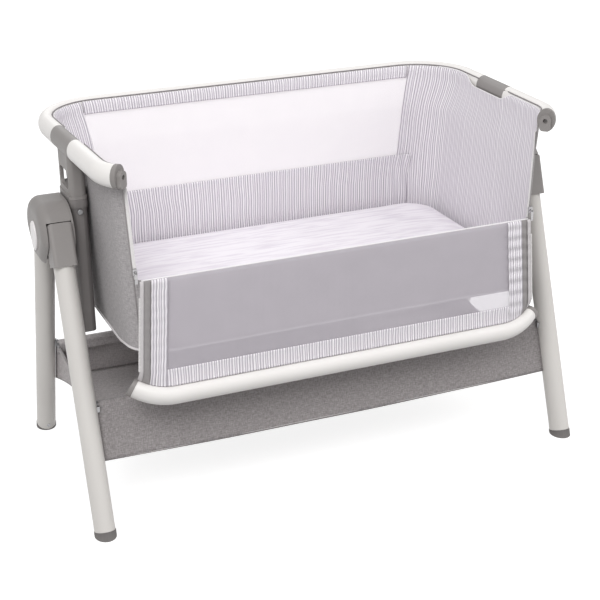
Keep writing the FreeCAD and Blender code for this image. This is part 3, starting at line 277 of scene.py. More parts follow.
def crossed_waves(tree, cloth, period_mm, operation="SINE"):
    """The product of two waves, one along each direction of the cloth."""
    turn = 2 * math.pi / (period_mm * MM)
    waves = [wave(tree, add(tree, "SeparateXYZ", {"Vector": cloth}, output=axis), turn, operation)
             for axis in "XY"]
    return add(tree, "Math", {0: waves[0], 1: waves[1]}, MULTIPLY)


def melange_cloth(name, light, middle, dark, thread_mm):
    """Woven polyester melange: pale and dark slubs along both threads. Such yarn is about 0.6 mm
    thick, and is drawn coarser so that it shows."""
    made, tree = begin(name)
    cloth = add(tree, "TexCoord", output="UV")
    slubs = []
    for size in ((0.011, 0.0016), (0.0016, 0.008)):
        way = add(tree, "Mapping", {"Vector": cloth, "Scale": (1 / size[0], 1 / size[1], 1.0)})
        slubs.append(add(tree, "TexNoise", {"Vector": way, "Scale": 1.0, "Detail": 4.0, "Roughness": 0.65}))
    both = add(tree, "Math", {0: slubs[0], 1: slubs[1]}, ADD)
    mixed = add(tree, "Math", {0: both, 1: 0.5}, MULTIPLY)
    ramp = add(tree, "ValToRGB", {"Fac": mixed}, output=None)
    stops = ramp.color_ramp.elements
    stops[0].position, stops[0].color = 0.36, linear(dark)
    stops[1].position, stops[1].color = 0.64, linear(light)
    stops.new(0.5).color = linear(middle)
    height = add(tree, "Math", {0: crossed_waves(tree, cloth, thread_mm), 1: mixed}, ADD)
    return finished(made, height, 0.35, 0.0004, {
        "Base Color": ramp.outputs["Color"], "Roughness": 0.92, "Sheen Weight": 0.12,
        "Sheen Roughness": 0.5, "Specular IOR Level": 0.2})


# one repeat of the stripe: four pale ribs at uneven spacing, a darker thread between each two. The
# tones were chosen, and adjusted until the stripe's rhythm matched the photograph's
STRIPE_TONES = ((0.02, "#FFFDFF"), (0.1, "#FFFDFF"), (0.13, "#D8D2DA"), (0.2, "#A59FA7"), (0.25, "#D3CDD5"),
                (0.3, "#F7F4F8"), (0.375, "#F7F4F8"), (0.41, "#D8D2DA"), (0.48, "#ADA7AF"), (0.53, "#D6D0D8"),
                (0.59, "#FFFDFF"), (0.67, "#FFFDFF"), (0.7, "#D3CDD5"), (0.74, "#A19BA3"), (0.775, "#D3CDD5"),
                (0.81, "#F1EDF2"), (0.865, "#F1EDF2"), (0.9, "#D6D0D8"), (0.95, "#AAA4AC"))
STRIPE_RIBS = 4


def striped_cloth(name, repeat_mm):
    """Ribbed cotton with yarn-dyed stripes: pale ribs, with lilac and grey threads in the valleys."""
    made, tree = begin(name)
    cloth = add(tree, "TexCoord", output="UV")
    wander = add(tree, "TexNoise", {"Vector": cloth, "Scale": 14.0, "Detail": 1.0})
    wander = add(tree, "Math", {0: wander, 1: 0.3}, MULTIPLY)
    across = add(tree, "SeparateXYZ", {"Vector": cloth}, output="X")
    across = add(tree, "Math", {0: across, 1: repeat_mm * MM}, {"operation": "DIVIDE"})
    moved = add(tree, "Math", {0: across, 1: wander}, ADD)
    share = add(tree, "Math", {0: moved}, {"operation": "FRACT"})
    ramp = add(tree, "ValToRGB", {"Fac": share}, output=None)
    stops = ramp.color_ramp.elements
    stops[0].position, stops[0].color = 0.0, linear("#D8D2DA")
    stops[1].position, stops[1].color = 1.0, linear("#D8D2DA")
    for position, colour in STRIPE_TONES:
        stops.new(position).color = linear(colour)
    ribs = add(tree, "Math", {0: moved, 1: float(STRIPE_RIBS)}, MULTIPLY)
    number = add(tree, "Math", {0: ribs}, {"operation": "FLOOR"})
    chance = add(tree, "TexWhiteNoise", {"W": number}, {"noise_dimensions": "1D"}, "Value")
    paler = add(tree, "Math", {0: chance, 1: 0.3}, MULTIPLY)
    threads = add(tree, "Math", {0: crossed_waves(tree, cloth, 1.3), 1: 0.15}, MULTIPLY)
    height = add(tree, "Math", {0: wave(tree, share, STRIPE_RIBS * 2 * math.pi), 1: threads}, ADD)
    tones = {0: paler, 6: ramp.outputs["Color"], 7: linear("#D9D3DB")}
    return finished(made, height, 0.45, 0.0012, {
        "Base Color": add(tree, "Mix", tones, COLOURS, 2),
        "Roughness": 0.88, "Sheen Weight": 0.1, "Specular IOR Level": 0.25})


def open_mesh(name, hex_colour, shade, cell_mm, closed, solid):
    """Warp-knitted polyester net with diamond holes. Such nets have cells of about 1.2 mm, drawn
    coarser here so that they show."""
    made, tree = begin(name)
    cloth = add(tree, "TexCoord", output="UV")
    turned = add(tree, "Mapping", {"Vector": cloth, "Rotation": (0.0, 0.0, math.radians(45))})
    hole = crossed_waves(tree, turned, cell_mm, "COSINE")            # one hole to each wave
    cover = {"Value": hole, "From Min": 0.55, "From Max": -0.25, "To Min": closed, "To Max": solid}
    colour = clouded(tree, cloth, 25.0, 4.0, hex_colour, shade)[1]
    return finished(made, hole, 0.3, 0.0003, {
        "Base Color": colour, "Roughness": 0.85, "Specular IOR Level": 0.2,
        "Alpha": add(tree, "MapRange", cover)})


def puckered_cotton(name):
    """Brushed cotton mattress cover with a light seersucker pucker that runs lengthwise."""
    made, tree = begin(name)
    place = add(tree, "TexCoord", output="Object")
    drawn = add(tree, "Mapping", {"Vector": place, "Scale": (14.0, 130.0, 30.0)})
    pucker = add(tree, "TexNoise", {"Vector": drawn, "Scale": 1.0, "Detail": 3.0, "Distortion": 0.6})
    fine = add(tree, "TexNoise", {"Vector": place, "Scale": 1 / 0.0014, "Detail": 2.0})
    fine = add(tree, "Math", {0: fine, 1: 0.15}, MULTIPLY)
    ramp = add(tree, "ValToRGB", {"Fac": pucker}, output=None)
    stops = ramp.color_ramp.elements
    stops[0].position, stops[0].color = 0.36, linear("#E6E0E8")
    stops[1].position, stops[1].color = 0.56, linear("#F6F2F7")
    return finished(made, add(tree, "Math", {0: pucker, 1: fine}, ADD), 0.3, 0.0015, {
        "Base Color": ramp.outputs["Color"], "Roughness": 0.9, "Sheen Weight": 0.15,
        "Specular IOR Level": 0.2})


def woven_tape(name, hex_colour, shade, rib_mm):
    """Narrow woven polyester tape or bias binding: fine cross ribs."""
    made, tree = begin(name)
    cloth = add(tree, "TexCoord", output="UV")
    along = add(tree, "SeparateXYZ", {"Vector": cloth}, output="Y")
    colour = clouded(tree, cloth, 120.0, 3.0, hex_colour, shade)[1]
    return finished(made, wave(tree, along, 2 * math.pi / (rib_mm * MM)), 0.3, 0.0003, {
        "Base Color": colour, "Roughness": 0.8, "Specular IOR Level": 0.3})


FINISH = {
    "rail_white": coated_metal("powder_coated_tube_white", "#ECE9E7", "#E5E2DF"),
    "leg_coat": coated_metal("powder_coated_tube_ivory", "#D8D5D1", "#D0CCC8"),
    "hub_grey": moulded_plastic("moulded_polypropylene_grey", "#8D8987", "#868280", 0.9, 0.5),
    "column_grey": moulded_plastic("moulded_polypropylene_dark_grey", "#706C6B", "#6A6665", 0.9, 0.5),
    "foot_rubber": moulded_plastic("moulded_rubber_feet", "#6A6766", "#5F5C5B", 1.4, 0.75),
    "steel": plated_steel("zinc_plated_steel", "#B9B9BA"),
    "button_white": moulded_plastic("moulded_abs_white", "#EDEAEA", "#E6E3E3", 1.2, 0.34),
    "melange": melange_cloth("woven_melange_tub", "#C3BFBF", "#ABA7A8", "#928E8F", 1.6),
    "basket_cloth": melange_cloth("woven_melange_basket", "#ACA7A7", "#959090", "#7A7575", 1.6),
    "striped_lining": striped_cloth("ribbed_striped_cotton", STRIPE_REPEAT),
    "back_mesh": open_mesh("knitted_net_white", "#F6F2F4", "#F2EEF1", 2.2, 0.80, 0.97),
    "front_mesh": open_mesh("knitted_net_grey", "#D8D2DA", "#CFC9D1", 2.2, 0.48, 0.80),
    "board": moulded_plastic("pressed_board_grey", "#8A8786", "#7F7C7B", 2.0, 0.7),
    "mattress_cover": puckered_cotton("brushed_cotton_cover"),
    "zip_white": woven_tape("woven_zip_tape_white", "#F2F0EF", "#E6E3E3", 1.5),
    "zip_metal": plated_steel("nickel_plated_zinc", "#D2D0D1"),
}
GREY_BINDING = woven_tape("woven_binding_grey", "#A29E9E", "#938F8F", 1.6)
WHITE_PIPING = woven_tape("cotton_piping_white", "#F4F2F3", "#E9E6E8", 2.0)
# the basket's cloth, drawn lighter inside it, because the photograph shows it lighter there: a lighter copy
# of the same cloth, painted light against the shade that the tub above casts into the basket
BASKET_PAINTED_LIGHT = melange_cloth("woven_melange_basket_painted_light", "#DDD8D8", "#C6C1C1", "#A8A3A3", 1.6)
# painted shade: the colour of the dark bead that stands in for the shadow inside the rail's groove
PAINTED_GROOVE_SHADE = woven_tape("painted_groove_shade_grey", "#989395", "#8B8688", 2.0)
PALE_PIPING = woven_tape("cotton_piping_pale_grey", "#DEDBDC", "#D2CECF", 2.0)
ZIP_TAPE = woven_tape("woven_zip_tape_pale_grey", "#D6D2D3", "#C8C4C5", 1.2)

for part in frame["record"]["subparts"]:
    mesh = nodes[part["node"]].data
    mesh.materials.clear()
    mesh.materials.append(FINISH[part["material_slot"]])


# ---------------------------------------------------------------- making meshes

def lengths_along(points, axis):
    """Running length along one direction of a grid, averaged over the other, in mm."""
    steps = np.linalg.norm(np.diff(points, axis=axis), axis=2)
    running = np.cumsum(steps.mean(axis=1 - axis))
    return np.concatenate([[0.0], running])


def in_scene(name, data):
    """A new object that holds the data, linked to the scene."""
    made = bpy.data.objects.new(name, data)
    bpy.context.scene.collection.objects.link(made)
    return made


def grid_piece(name, points, finish, thick=0.0, closed=False):
    """A surface from a grid of points (rows, columns, xyz): each four neighbours make one quad.
    Its UV map holds the running length across and along, in metres."""
    rows, columns = points.shape[:2]
    across = lengths_along(points, 1)
    up = lengths_along(points, 0)
    index = np.arange(rows * columns).reshape(rows, columns)
    low, high = index[:-1], index[1:]
    quads = np.stack([low[:, :-1], low[:, 1:], high[:, 1:], high[:, :-1]], axis=2).reshape(-1, 4)
    if closed:
        seam = np.stack([low[:, -1], low[:, 0], high[:, 0], high[:, -1]], axis=1)
        quads = np.concatenate([quads, seam])
    mesh = bpy.data.meshes.new(name)
    mesh.from_pydata((points.reshape(-1, 3) * MM).tolist(), [], quads.tolist())
    layer = mesh.uv_layers.new(name="cloth")
    u, v = np.meshgrid(across * MM, up * MM)
    flat = np.stack([u, v], axis=2).reshape(-1, 2)
    loops = np.zeros(len(mesh.loops), int)
    mesh.loops.foreach_get("vertex_index", loops)
    layer.data.foreach_set("uv", flat[loops].astype(np.float32).ravel())
    mesh.shade_smooth()
    mesh.materials.append(finish)
    made = in_scene(name, mesh)
    if thick:
        wall = made.modifiers.new("fabric", "SOLIDIFY")
        wall.thickness = thick * MM
        wall.offset = 0.0
    return made


def cloth_piece(name, points, slot_name, finish=None, thick=FABRIC, stand_for=(),
                body="cradle"):
    """A sheet of cloth that rides on a body, or is left unattached where body is None. It is cut to the
    size that its surface has when laid flat."""
    made = grid_piece(name, points, finish or FINISH[slot_name], thick)
    if stand_for:
        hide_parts(*stand_for)
    if body:
        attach(made, body)
    return made


def tube_along(name, path, radius, finish, sides=10, flat=1.0, body="cradle"):
    """A round bead carried along a path: a circle in the plane across each tangent. It rides on a
    body, or is left unattached where body is None."""
    path = np.asarray(path, float)
    tangent = np.gradient(path, axis=0)
    tangent /= np.linalg.norm(tangent, axis=1)[:, None]
    up = np.tile([0.0, 0.0, 1.0], (len(path), 1))
    steep = np.abs(tangent[:, 2]) > 0.8
    up[steep] = [0.0, -1.0, 0.0]
    side = np.cross(tangent, up)
    side /= np.linalg.norm(side, axis=1)[:, None]
    top = np.cross(side, tangent)
    turn = np.linspace(0, 2 * np.pi, sides, endpoint=False)
    ring = side[:, None] * np.cos(turn)[None, :, None] * flat + top[:, None] * np.sin(turn)[None, :, None]
    ends = [np.repeat(path[:1, None], sides, axis=1), np.repeat(path[-1:, None], sides, axis=1)]
    points = np.concatenate([ends[0], path[:, None] + ring * radius, ends[1]])
    made = grid_piece(name, points, finish, closed=True)
    made.modifiers.new("closed ends", "WELD").merge_threshold = JOIN_GAP
    if body:
        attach(made, body)
    return made


def mirrored(points):
    """The same grid on the right: x is negated and the columns run the other way."""
    return points[:, ::-1] * np.array([-1.0, 1.0, 1.0])


def both_sides(points):
    return (("left", points), ("right", mirrored(points)))


# ---------------------------------------------------------------- the tub's skin

def ring_point(t, centre_front, radius_front, centre_back, radius_back, splay, zip_angle):
    """Plan point on a left end ring. t 0-1 goes round the front corner from the zip edge, 1-2 along the
    end, 2-3 round the back corner, 3-4 along the back to the side seam. Directions turn from -X to -Y."""
    t = np.asarray(t, float)
    front_turn = np.radians(zip_angle + (splay - zip_angle) * np.clip(t, 0, 1))
    back_turn = np.radians(splay - (90.0 + splay) * np.clip(t - 2, 0, 1))
    front = centre_front + radius_front * np.stack([-np.cos(front_turn), -np.sin(front_turn)], -1)
    back = centre_back + radius_back * np.stack([-np.cos(back_turn), -np.sin(back_turn)], -1)
    along = np.clip(t - 1, 0, 1)[..., None]
    seam = np.array([-SIDE_SEAM, 0.0]) + np.array([0.0, 1.0]) * (centre_back + radius_back)[..., 1:2]
    last = np.clip(t - 3, 0, 1)[..., None]
    point = np.where((t <= 1)[..., None], front, front * (1 - along) + back * along)
    point = np.where((t >= 2)[..., None], back, point)
    return np.where((t > 3)[..., None], back * (1 - last) + seam * last, point)


def tub_ring(t, z, grow):
    """The tub's wall in plan at height z, moved outwards by grow."""
    share = ((z - TUB_BOTTOM) / (TUB_TOP - TUB_BOTTOM))[..., None]
    grow = np.broadcast_to(grow, z.shape)[..., None]
    half = TUB_HALF_LENGTH[0] + (TUB_HALF_LENGTH[1] - TUB_HALF_LENGTH[0]) * share
    back = TUB_BACK_CORNER[0] + (TUB_BACK_CORNER[1] - TUB_BACK_CORNER[0]) * share
    front_y = np.full_like(half, TUB_FRONT_CORNER - TUB_HALF_DEPTH)
    centre_front = np.concatenate([TUB_FRONT_CORNER - half, front_y], -1)
    centre_back = np.concatenate([back - half, TUB_HALF_DEPTH - back], -1)
    return ring_point(t, centre_front, TUB_FRONT_CORNER + grow, centre_back, back + grow, 0.0, ZIP_ANGLE)


def splayed_centre(y, radius):
    """Centre of a rail corner that is tangent to the splayed end."""
    splay = math.radians(RAIL_SPLAY)
    run = (y - radius * math.sin(splay)) / math.cos(splay)
    return np.array([-RAIL_HALF_LENGTH - run * math.sin(splay) + radius * math.cos(splay), y])


def rail_ring(t, grow):
    """The rail's middle line in plan, moved outwards by grow."""
    front = splayed_centre(RAIL_FRONT_CENTRE_Y, RAIL_FRONT_CORNER)
    back = splayed_centre(RAIL_BACK - RAIL_BACK_CORNER, RAIL_BACK_CORNER)
    grow = np.broadcast_to(grow, np.shape(t))[..., None]
    return ring_point(t, front, RAIL_FRONT_CORNER + grow, back, RAIL_BACK_CORNER + grow, RAIL_SPLAY,
                      RAIL_ZIP_ANGLE)


def smooth(value):
    """Eases a share from 0 to 1."""
    value = np.clip(value, 0, 1)
    return value * value * (3 - 2 * value)


def rail_inset(z, gap):
    """How far inside the rail's middle line the lining lies: upright, then over the oval to the groove."""
    height = np.clip((z - RAIL_HEIGHT) / (RAIL_HALF_TALL + gap), 0, 0.99)
    return (RAIL_HALF_WIDTH + gap) * np.sqrt(1 - height ** 2)


def skin(t, z, grow, gap):
    """A point on the tub's side: the wall, leaning out near its top to the ring inside the rail."""
    share = np.clip((z - LEAN_START) / (RAIL_SHOULDER - LEAN_START), 0, 1)[..., None]
    low = tub_ring(t, np.minimum(z, TUB_TOP), grow)
    high = rail_ring(t, -rail_inset(z, gap))
    plan = low * (1 - share) + high * share
    return np.concatenate([plan, z[..., None]], -1)


def end_samples():
    """Places round a left end: closer together on the corners."""
    return np.concatenate([np.linspace(0, 1, 15)[:-1], np.linspace(1, 2, 61)[:-1], np.linspace(2, 3, 30)])


def saddle_share(t):
    """1 beside the saddle, easing to 0 along the end in front of it and behind it."""
    y = rail_ring(t, np.full(t.shape, -RAIL_HALF_WIDTH))[..., 1]
    before = smooth((y - DIP_FRONT[0]) / (DIP_FRONT[1] - DIP_FRONT[0]))
    after = smooth((y - DIP_BACK[0]) / (DIP_BACK[1] - DIP_BACK[0]))
    return np.minimum(before, after)


def lining_top(t):
    """Top edge of the lining: the groove at the back, a little lower along the end, with a dip."""
    level = EDGE_BACK + (EDGE_END - EDGE_BACK) * smooth(2.4 - t)
    return level - (level - EDGE_SADDLE) * saddle_share(t)


def window_half(z):
    """Half width of the back window, which widens upwards."""
    share = np.clip((z - WINDOW_BOTTOM) / (WINDOW_TOP - WINDOW_BOTTOM), -0.3, 1.2)
    return WINDOW_HALF[0] + (WINDOW_HALF[1] - WINDOW_HALF[0]) * share


def corner_end(z):
    """Place round the back corner where the window's side seam crosses height z."""
    reach = np.clip((window_half(z) - SIDE_SEAM) / TUB_BACK_CORNER[1], 0, 1)
    return 3.0 - np.degrees(np.arcsin(reach)) / 90.0


def end_lining_points():
    """Lining of a left end, from its front edge to the side seam of the back window. The wall's grey
    edge shows in front of it."""
    t = end_samples()
    t = np.where(t < 1, LINING_START + (1 - LINING_START) * t, t)
    rise = np.concatenate([np.linspace(0, 0.8, 30)[:-1], np.linspace(0.8, 1, 22)])[:, None]
    z = LINING_FLOOR + (lining_top(t)[None, :] - LINING_FLOOR) * rise
    place = np.minimum(t[None, :], 2 + (t[None, :] - 2) * (corner_end(z) - 2))
    bulge = LINING_GAP + SADDLE_BULGE * saddle_share(t)[None, :]
    return skin(np.broadcast_to(place, z.shape), z, -LINING_INSET, np.broadcast_to(bulge, z.shape))


def lifted(points):
    """Pulls the tub's bottom edge up a little at its two front corners."""
    x, y, z = points[..., 0], points[..., 1], points[..., 2]
    corner = smooth((np.abs(x) - LIFT_FROM[0]) / LIFT_EASE[0]) * smooth((-y - LIFT_FROM[1]) / LIFT_EASE[1])
    points = np.array(points)
    points[..., 2] += CORNER_LIFT * corner * np.clip(1 - (z - TUB_BOTTOM) / LIFT_FADE, 0, 1)
    return points


def end_wall_points():
    """Outer cloth of a left end. Its top edge passes under the column's face and under the rail."""
    t = end_samples()
    y = rail_ring(t, np.zeros(t.shape))[:, 1]
    top = WALL_TOP[0] + WALL_TOP[1] * smooth((np.abs(y) - COLUMN_FACE) / COLUMN_EASE)
    z = TUB_BOTTOM + (top[None, :] - TUB_BOTTOM) * np.linspace(0, 1, 67)[:, None]
    beside_window = smooth((z - WINDOW_BOTTOM + 12.0) / 8.0)
    last = 3.0 + (corner_end(z) - 3.0) * beside_window
    place = np.minimum(t[None, :], 2 + (t[None, :] - 2) * (last - 2))
    return lifted(skin(np.broadcast_to(place, z.shape), z, -WALL_INSET, -WALL_PROUD))


for side, grid in both_sides(end_wall_points()[:, ::-1]):
    cloth_piece(f"end_wall_cloth_{side}", grid, "melange",
                stand_for=[f"end_wall_{side}"])
    front = grid[:, -1] if side == "left" else grid[:, 0]
    tube_along(f"front_edge_binding_{side}", front, BINDING, GREY_BINDING, flat=0.6)

for side, grid in both_sides(end_lining_points()):
    cloth_piece(f"end_lining_cloth_{side}", grid, "striped_lining",
                stand_for=[f"end_lining_{side}"])
    along = grid[-1] if side == "left" else grid[-1, ::-1]
    along = along[:PIPED_SAMPLES]
    tube_along(f"lining_piping_{side}", along, PIPING, WHITE_PIPING)
    front = grid[:-3, 0] if side == "left" else grid[:-3, -1]
    tube_along(f"lining_front_piping_{side}", front, FRONT_PIPING, PALE_PIPING)


def back_surface(x, z, grow, gap):
    """Points on the back: flat in the middle, then turning forwards with the back corners."""
    x, z = np.broadcast_arrays(x, z)
    flat_y = skin(np.full(z.shape, 3.0), z, grow, gap)[..., 1]
    over = np.clip(np.abs(x) - (SIDE_SEAM - 1.5), 0, 60.0)
    turn = TUB_BACK_CORNER[1] - np.sqrt(TUB_BACK_CORNER[1] ** 2 - over ** 2)
    return np.stack([x, flat_y - turn, z], -1)


def back_sheet(low, high, half, grow, gap, rows=14, columns=81):
    """A sheet of the back between two heights, with half width given for each height."""
    z = np.linspace(low, high, rows)[:, None]
    return back_surface(np.linspace(-1, 1, columns)[None, :] * half(z), z, grow, gap)


def crumpled_band():
    """Striped band below the window: lies over the end linings, with small folds at its two ends."""
    grid = back_sheet(LINING_FLOOR, WINDOW_BOTTOM + BAND_TOP, lambda z: window_half(z) + BAND_OVERLAP,
                      -LINING_INSET - 1.2, LINING_GAP, rows=40, columns=201)
    x, z = grid[..., 0], grid[..., 2]
    near_end = smooth((np.abs(x) - BAND_FOLDS[0]) / BAND_FOLDS[1])
    folds = np.sin((np.abs(x) - SIDE_SEAM) / 3.4 + 0.03 * z) * 1.3 + np.sin(z / 13.0 + x / 19.0) * 0.9
    mostly_right = smooth((x + 200.0) / 300.0)
    grid[..., 1] -= near_end * (1.6 + folds * mostly_right)
    return grid


back_parts = {
    "back_lining_below": crumpled_band(),
    "back_lining_above": back_sheet(WINDOW_TOP, EDGE_BACK, window_half, -LINING_INSET - 0.5, LINING_GAP),
}
for name, grid in back_parts.items():
    cloth_piece(name, grid, "striped_lining",
                stand_for=["back_lining"] if name == "back_lining_below" else ())

net_grid = back_sheet(WINDOW_BOTTOM - 6, WINDOW_TOP + 3, lambda z: window_half(z) + 1.5, -LINING_INSET + 0.9,
                      LINING_GAP - 0.4, rows=40)
cloth_piece("back_window_net", net_grid, "back_mesh", thick=0.0,
            stand_for=["back_net"])
wall_grid = back_sheet(TUB_BOTTOM, WINDOW_BOTTOM - 2, lambda z: np.full_like(z, SIDE_SEAM), -WALL_INSET,
                       -WALL_PROUD)
cloth_piece("back_wall_cloth", wall_grid, "melange",
            stand_for=["back_wall"])
rim_grid = back_sheet(WINDOW_TOP - 3, RIM_TOP, window_half, -WALL_INSET, -WALL_PROUD, rows=3)
cloth_piece("back_rim_cloth", rim_grid, "melange", thick=0.6)


def groove_line(t):
    """Path of the dark bead in the rail's groove, painted shade that stands in for the groove's shadow, for
    places round a left end.
    """
    plan = rail_ring(t, np.full(t.shape, -GROOVE_INSET))
    return np.concatenate([plan, np.full((len(t), 1), GROOVE_Z)], -1)


# dark grey beads along the rail's groove, behind and ahead of the saddles: painted shade for the groove's
# shadow
behind = groove_line(np.linspace(SHADE_BEAD_GAP[1], 3, 60))
behind = np.concatenate([behind, (behind * [-1.0, 1.0, 1.0])[::-1]])
ahead = groove_line(np.linspace(0, SHADE_BEAD_GAP[0], 40))
for name, path in (("groove_shade_bead_back", behind), ("groove_shade_bead_left", ahead),
                   ("groove_shade_bead_right", ahead * [-1.0, 1.0, 1.0])):
    tube_along(name, path, SHADE_BEAD_RADIUS, PAINTED_GROOVE_SHADE, sides=8)


def front_corner(half, grow, samples):
    """Plan of the front half of a left front corner, from the zip's edge to the flat front."""
    quarter = np.radians(np.linspace(ZIP_ANGLE, 90, samples))
    centre = np.array([TUB_FRONT_CORNER - half, TUB_FRONT_CORNER - TUB_HALF_DEPTH])
    return centre + (TUB_FRONT_CORNER + grow) * np.stack([-np.cos(quarter), -np.sin(quarter)], -1)


def front_wall_points():
    """Low front wall: flat between the two zip edges, with the rounded corners' front halves."""
    rows = []
    for level in np.linspace(TUB_BOTTOM, HINGE_Z - 1.5, 10):
        share = (level - TUB_BOTTOM) / (TUB_TOP - TUB_BOTTOM)
        half = TUB_HALF_LENGTH[0] + (TUB_HALF_LENGTH[1] - TUB_HALF_LENGTH[0]) * share
        right = front_corner(half, -WALL_INSET, 10) * [-1.0, 1.0]
        middle = np.linspace(right[-1], right[-1] * [-1.0, 1.0], 41)[1:-1]
        plan = np.concatenate([right, middle, right[::-1] * [-1.0, 1.0]])
        rows.append(np.concatenate([plan, np.full((len(plan), 1), level)], -1))
    return lifted(np.array(rows))


cloth_piece("front_wall_cloth", front_wall_points()[:, ::-1], "melange",
            stand_for=["front_wall"])
bead_x = np.linspace(-PANEL_FOLD_HALF + 4, PANEL_FOLD_HALF - 4, 60)
bead_path = np.stack([bead_x, np.full(60, HINGE_Y), np.full(60, HINGE_Z)], -1)
tube_along("fold_piping", bead_path, FOLD_PIPING, WHITE_PIPING)


def bottom_ring(z, grow):
    """The whole outline of the tub at its bottom: left end, back, right end and front."""
    t = np.linspace(0, 4, 80)
    left = tub_ring(t, np.full(t.shape, z), grow)
    corner = front_corner(TUB_HALF_LENGTH[0], grow, 8)[:0:-1]
    half = np.concatenate([corner, left])
    whole = np.concatenate([half, (half * [-1.0, 1.0])[::-1]])
    return lifted(np.concatenate([whole, np.full((len(whole), 1), z)], -1))


def closed_bead(name, loop, radius, finish, sides=10):
    """A bead round a closed level loop."""
    following = np.roll(loop, -1, axis=0) - np.roll(loop, 1, axis=0)
    following /= np.linalg.norm(following, axis=1)[:, None]
    outward = np.stack([-following[:, 1], following[:, 0], np.zeros(len(loop))], -1)
    turn = np.linspace(0, 2 * np.pi, sides, endpoint=False)
    turn = turn[:, None, None]
    ring = outward[None] * np.cos(turn) + np.array([0, 0, 1.0]) * np.sin(turn)
    body = loop[None] + ring * radius
    body = np.concatenate([body, body[:1]])
    made = grid_piece(name, body, finish, closed=True)
    made.modifiers.new("closed", "WELD").merge_threshold = JOIN_GAP
    return made


tub_bead = closed_bead("tub_bottom_piping", bottom_ring(TUB_BOTTOM - 0.5, 0.2), TUB_PIPING, PALE_PIPING)
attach(tub_bead, "cradle")


def filled(name, loop, finish, sag=0.0, rings=8):
    """A level sheet inside a loop: rings shrink to the middle line, and it sags towards the middle."""
    share = np.linspace(1, 0, rings)[:, None, None]
    spine = loop * [0.5, 0.0, 1.0]
    points = loop[None] * share + spine[None] * (1 - share)
    points[..., 2] -= sag * (1 - share[..., 0] ** 2)
    made = grid_piece(name, points, finish, FABRIC, closed=True)
    return made, points


under, under_points = filled("tub_floor_cloth", bottom_ring(TUB_BOTTOM + 0.6, -1.0), FINISH["melange"],
                             1.5)
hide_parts("tub_floor")
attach(under, "cradle")


# ---------------------------------------------------------------- drop side

def panel_half(z):
    """Half width of the panel at height z: it widens towards the rail."""
    top = HINGE_Z - 5.0
    return PANEL_FOLD_HALF + (PANEL_RAIL_HALF - PANEL_FOLD_HALF) * (top - z) / (top - PANEL_FOOT)


def groove_at(x):
    """Y and Z of the lowered rail's groove: straight, then an arc in the rail's tilted plane."""
    turn = np.arcsin(np.clip((np.abs(x) - GROOVE_STRAIGHT) / GROOVE_CORNER, 0, 0.72))
    back = GROOVE_CORNER * (1 - np.cos(turn))
    tilt = math.radians(RAIL_TILT)
    return GROOVE_Y + back * math.cos(tilt), LOWERED_GROOVE_Z + back * math.sin(tilt)


def panel_surface(x, z, lift=0.0):
    """Lowered panel: flat, curling to the piping at the fold and running into the groove at the rail."""
    groove_y, groove_z = groove_at(x)
    near_rail = np.clip((groove_z + RAIL_TURN - z) / RAIL_TURN, 0, 1) ** 2
    near_fold = np.clip((z - HINGE_Z + FOLD_TURN) / FOLD_TURN, 0, 1) ** 2
    y = (PANEL_Y - lift) * (1 - near_rail) + groove_y * near_rail
    y = y * (1 - near_fold) + (HINGE_Y - BEAD - 0.2) * near_fold
    return np.stack(np.broadcast_arrays(x, y, z), -1)


def panel_strip(side, inset, height, ripple, lift):
    """Upright strip of the panel between two insets from its side edge, full height or above a foot."""
    share = np.linspace(0, 1, height)[:, None]
    foot_x = side * (panel_half(PANEL_FOOT) - np.asarray(inset)[None, :])
    foot_z = groove_at(foot_x)[1] + 0.8
    z = foot_z + (HINGE_Z - 0.2 - foot_z) * share
    x = side * (panel_half(z) - np.asarray(inset)[None, :])
    pucker = ripple * np.sin(2 * np.pi * z / PUCKER_LENGTH + 0.6 * np.sin(z / 31.0))
    pucker *= np.clip((HINGE_Z - z) / 15.0, 0, 1) * np.clip((z - foot_z) / 25.0, 0, 1)
    points = panel_surface(x + 0.7 * pucker, z, lift)
    points[..., 1] += 0.9 * pucker
    return points if side > 0 else points[:, ::-1]


def bends_to_rail(piece):
    """Bakes the piece's place into its mesh; the panel's last stretch is not turned with the rail that lies
    in its hem.
    """
    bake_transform(piece)


STRIPS = (("tape", (0.0, 4.0, TAPE_WIDTH), "zip_white", ZIP_TAPE, 0.3, 0.0),
          ("grey_edge", (TAPE_WIDTH - 0.6, 12.0, 16.0, GREY_WIDTH + 5.0), "melange", GREY_BINDING, 0.5, -1.2),
          ("border", tuple(np.linspace(GREY_WIDTH + 1.6, BORDER_WIDTH, 15)), "striped_lining", None,
           1.0, 1.4))
for side_name, side in (("left", -1.0), ("right", 1.0)):
    for label, inset, slot_name, finish, ripple, lift in STRIPS:
        grid = panel_strip(side, inset, 110, ripple * (1.5 if side > 0 else 0.4), lift)
        stand = {"tape": ["panel_zip_tapes"], "border": ["drop_panel"]}.get(label, ())
        strip = cloth_piece(f"drop_{label}_{side_name}", grid, slot_name,
                            finish=finish, stand_for=stand if side < 0 else (), body=None)
        bends_to_rail(strip)


def hem_points():
    """Striped hem between the net and the groove, with a light waviness between its stitches."""
    half = panel_half(PANEL_FOOT) - BORDER_WIDTH + 1
    x = np.linspace(-half, half, 221)
    foot = groove_at(x)[1] + 0.8
    share = np.linspace(0, 1, 12)[:, None]
    z = foot + (PANEL_FOOT + 3.0 - foot) * share
    points = panel_surface(np.broadcast_to(x, z.shape), z)
    points[..., 1] -= 0.5 * np.sin(2 * np.pi * x / HEM_STITCH) * np.sin(np.pi * share)
    return points


hem = cloth_piece("drop_hem_cloth", hem_points(), "striped_lining",
                  stand_for=["drop_hem"], body=None)
bends_to_rail(hem)


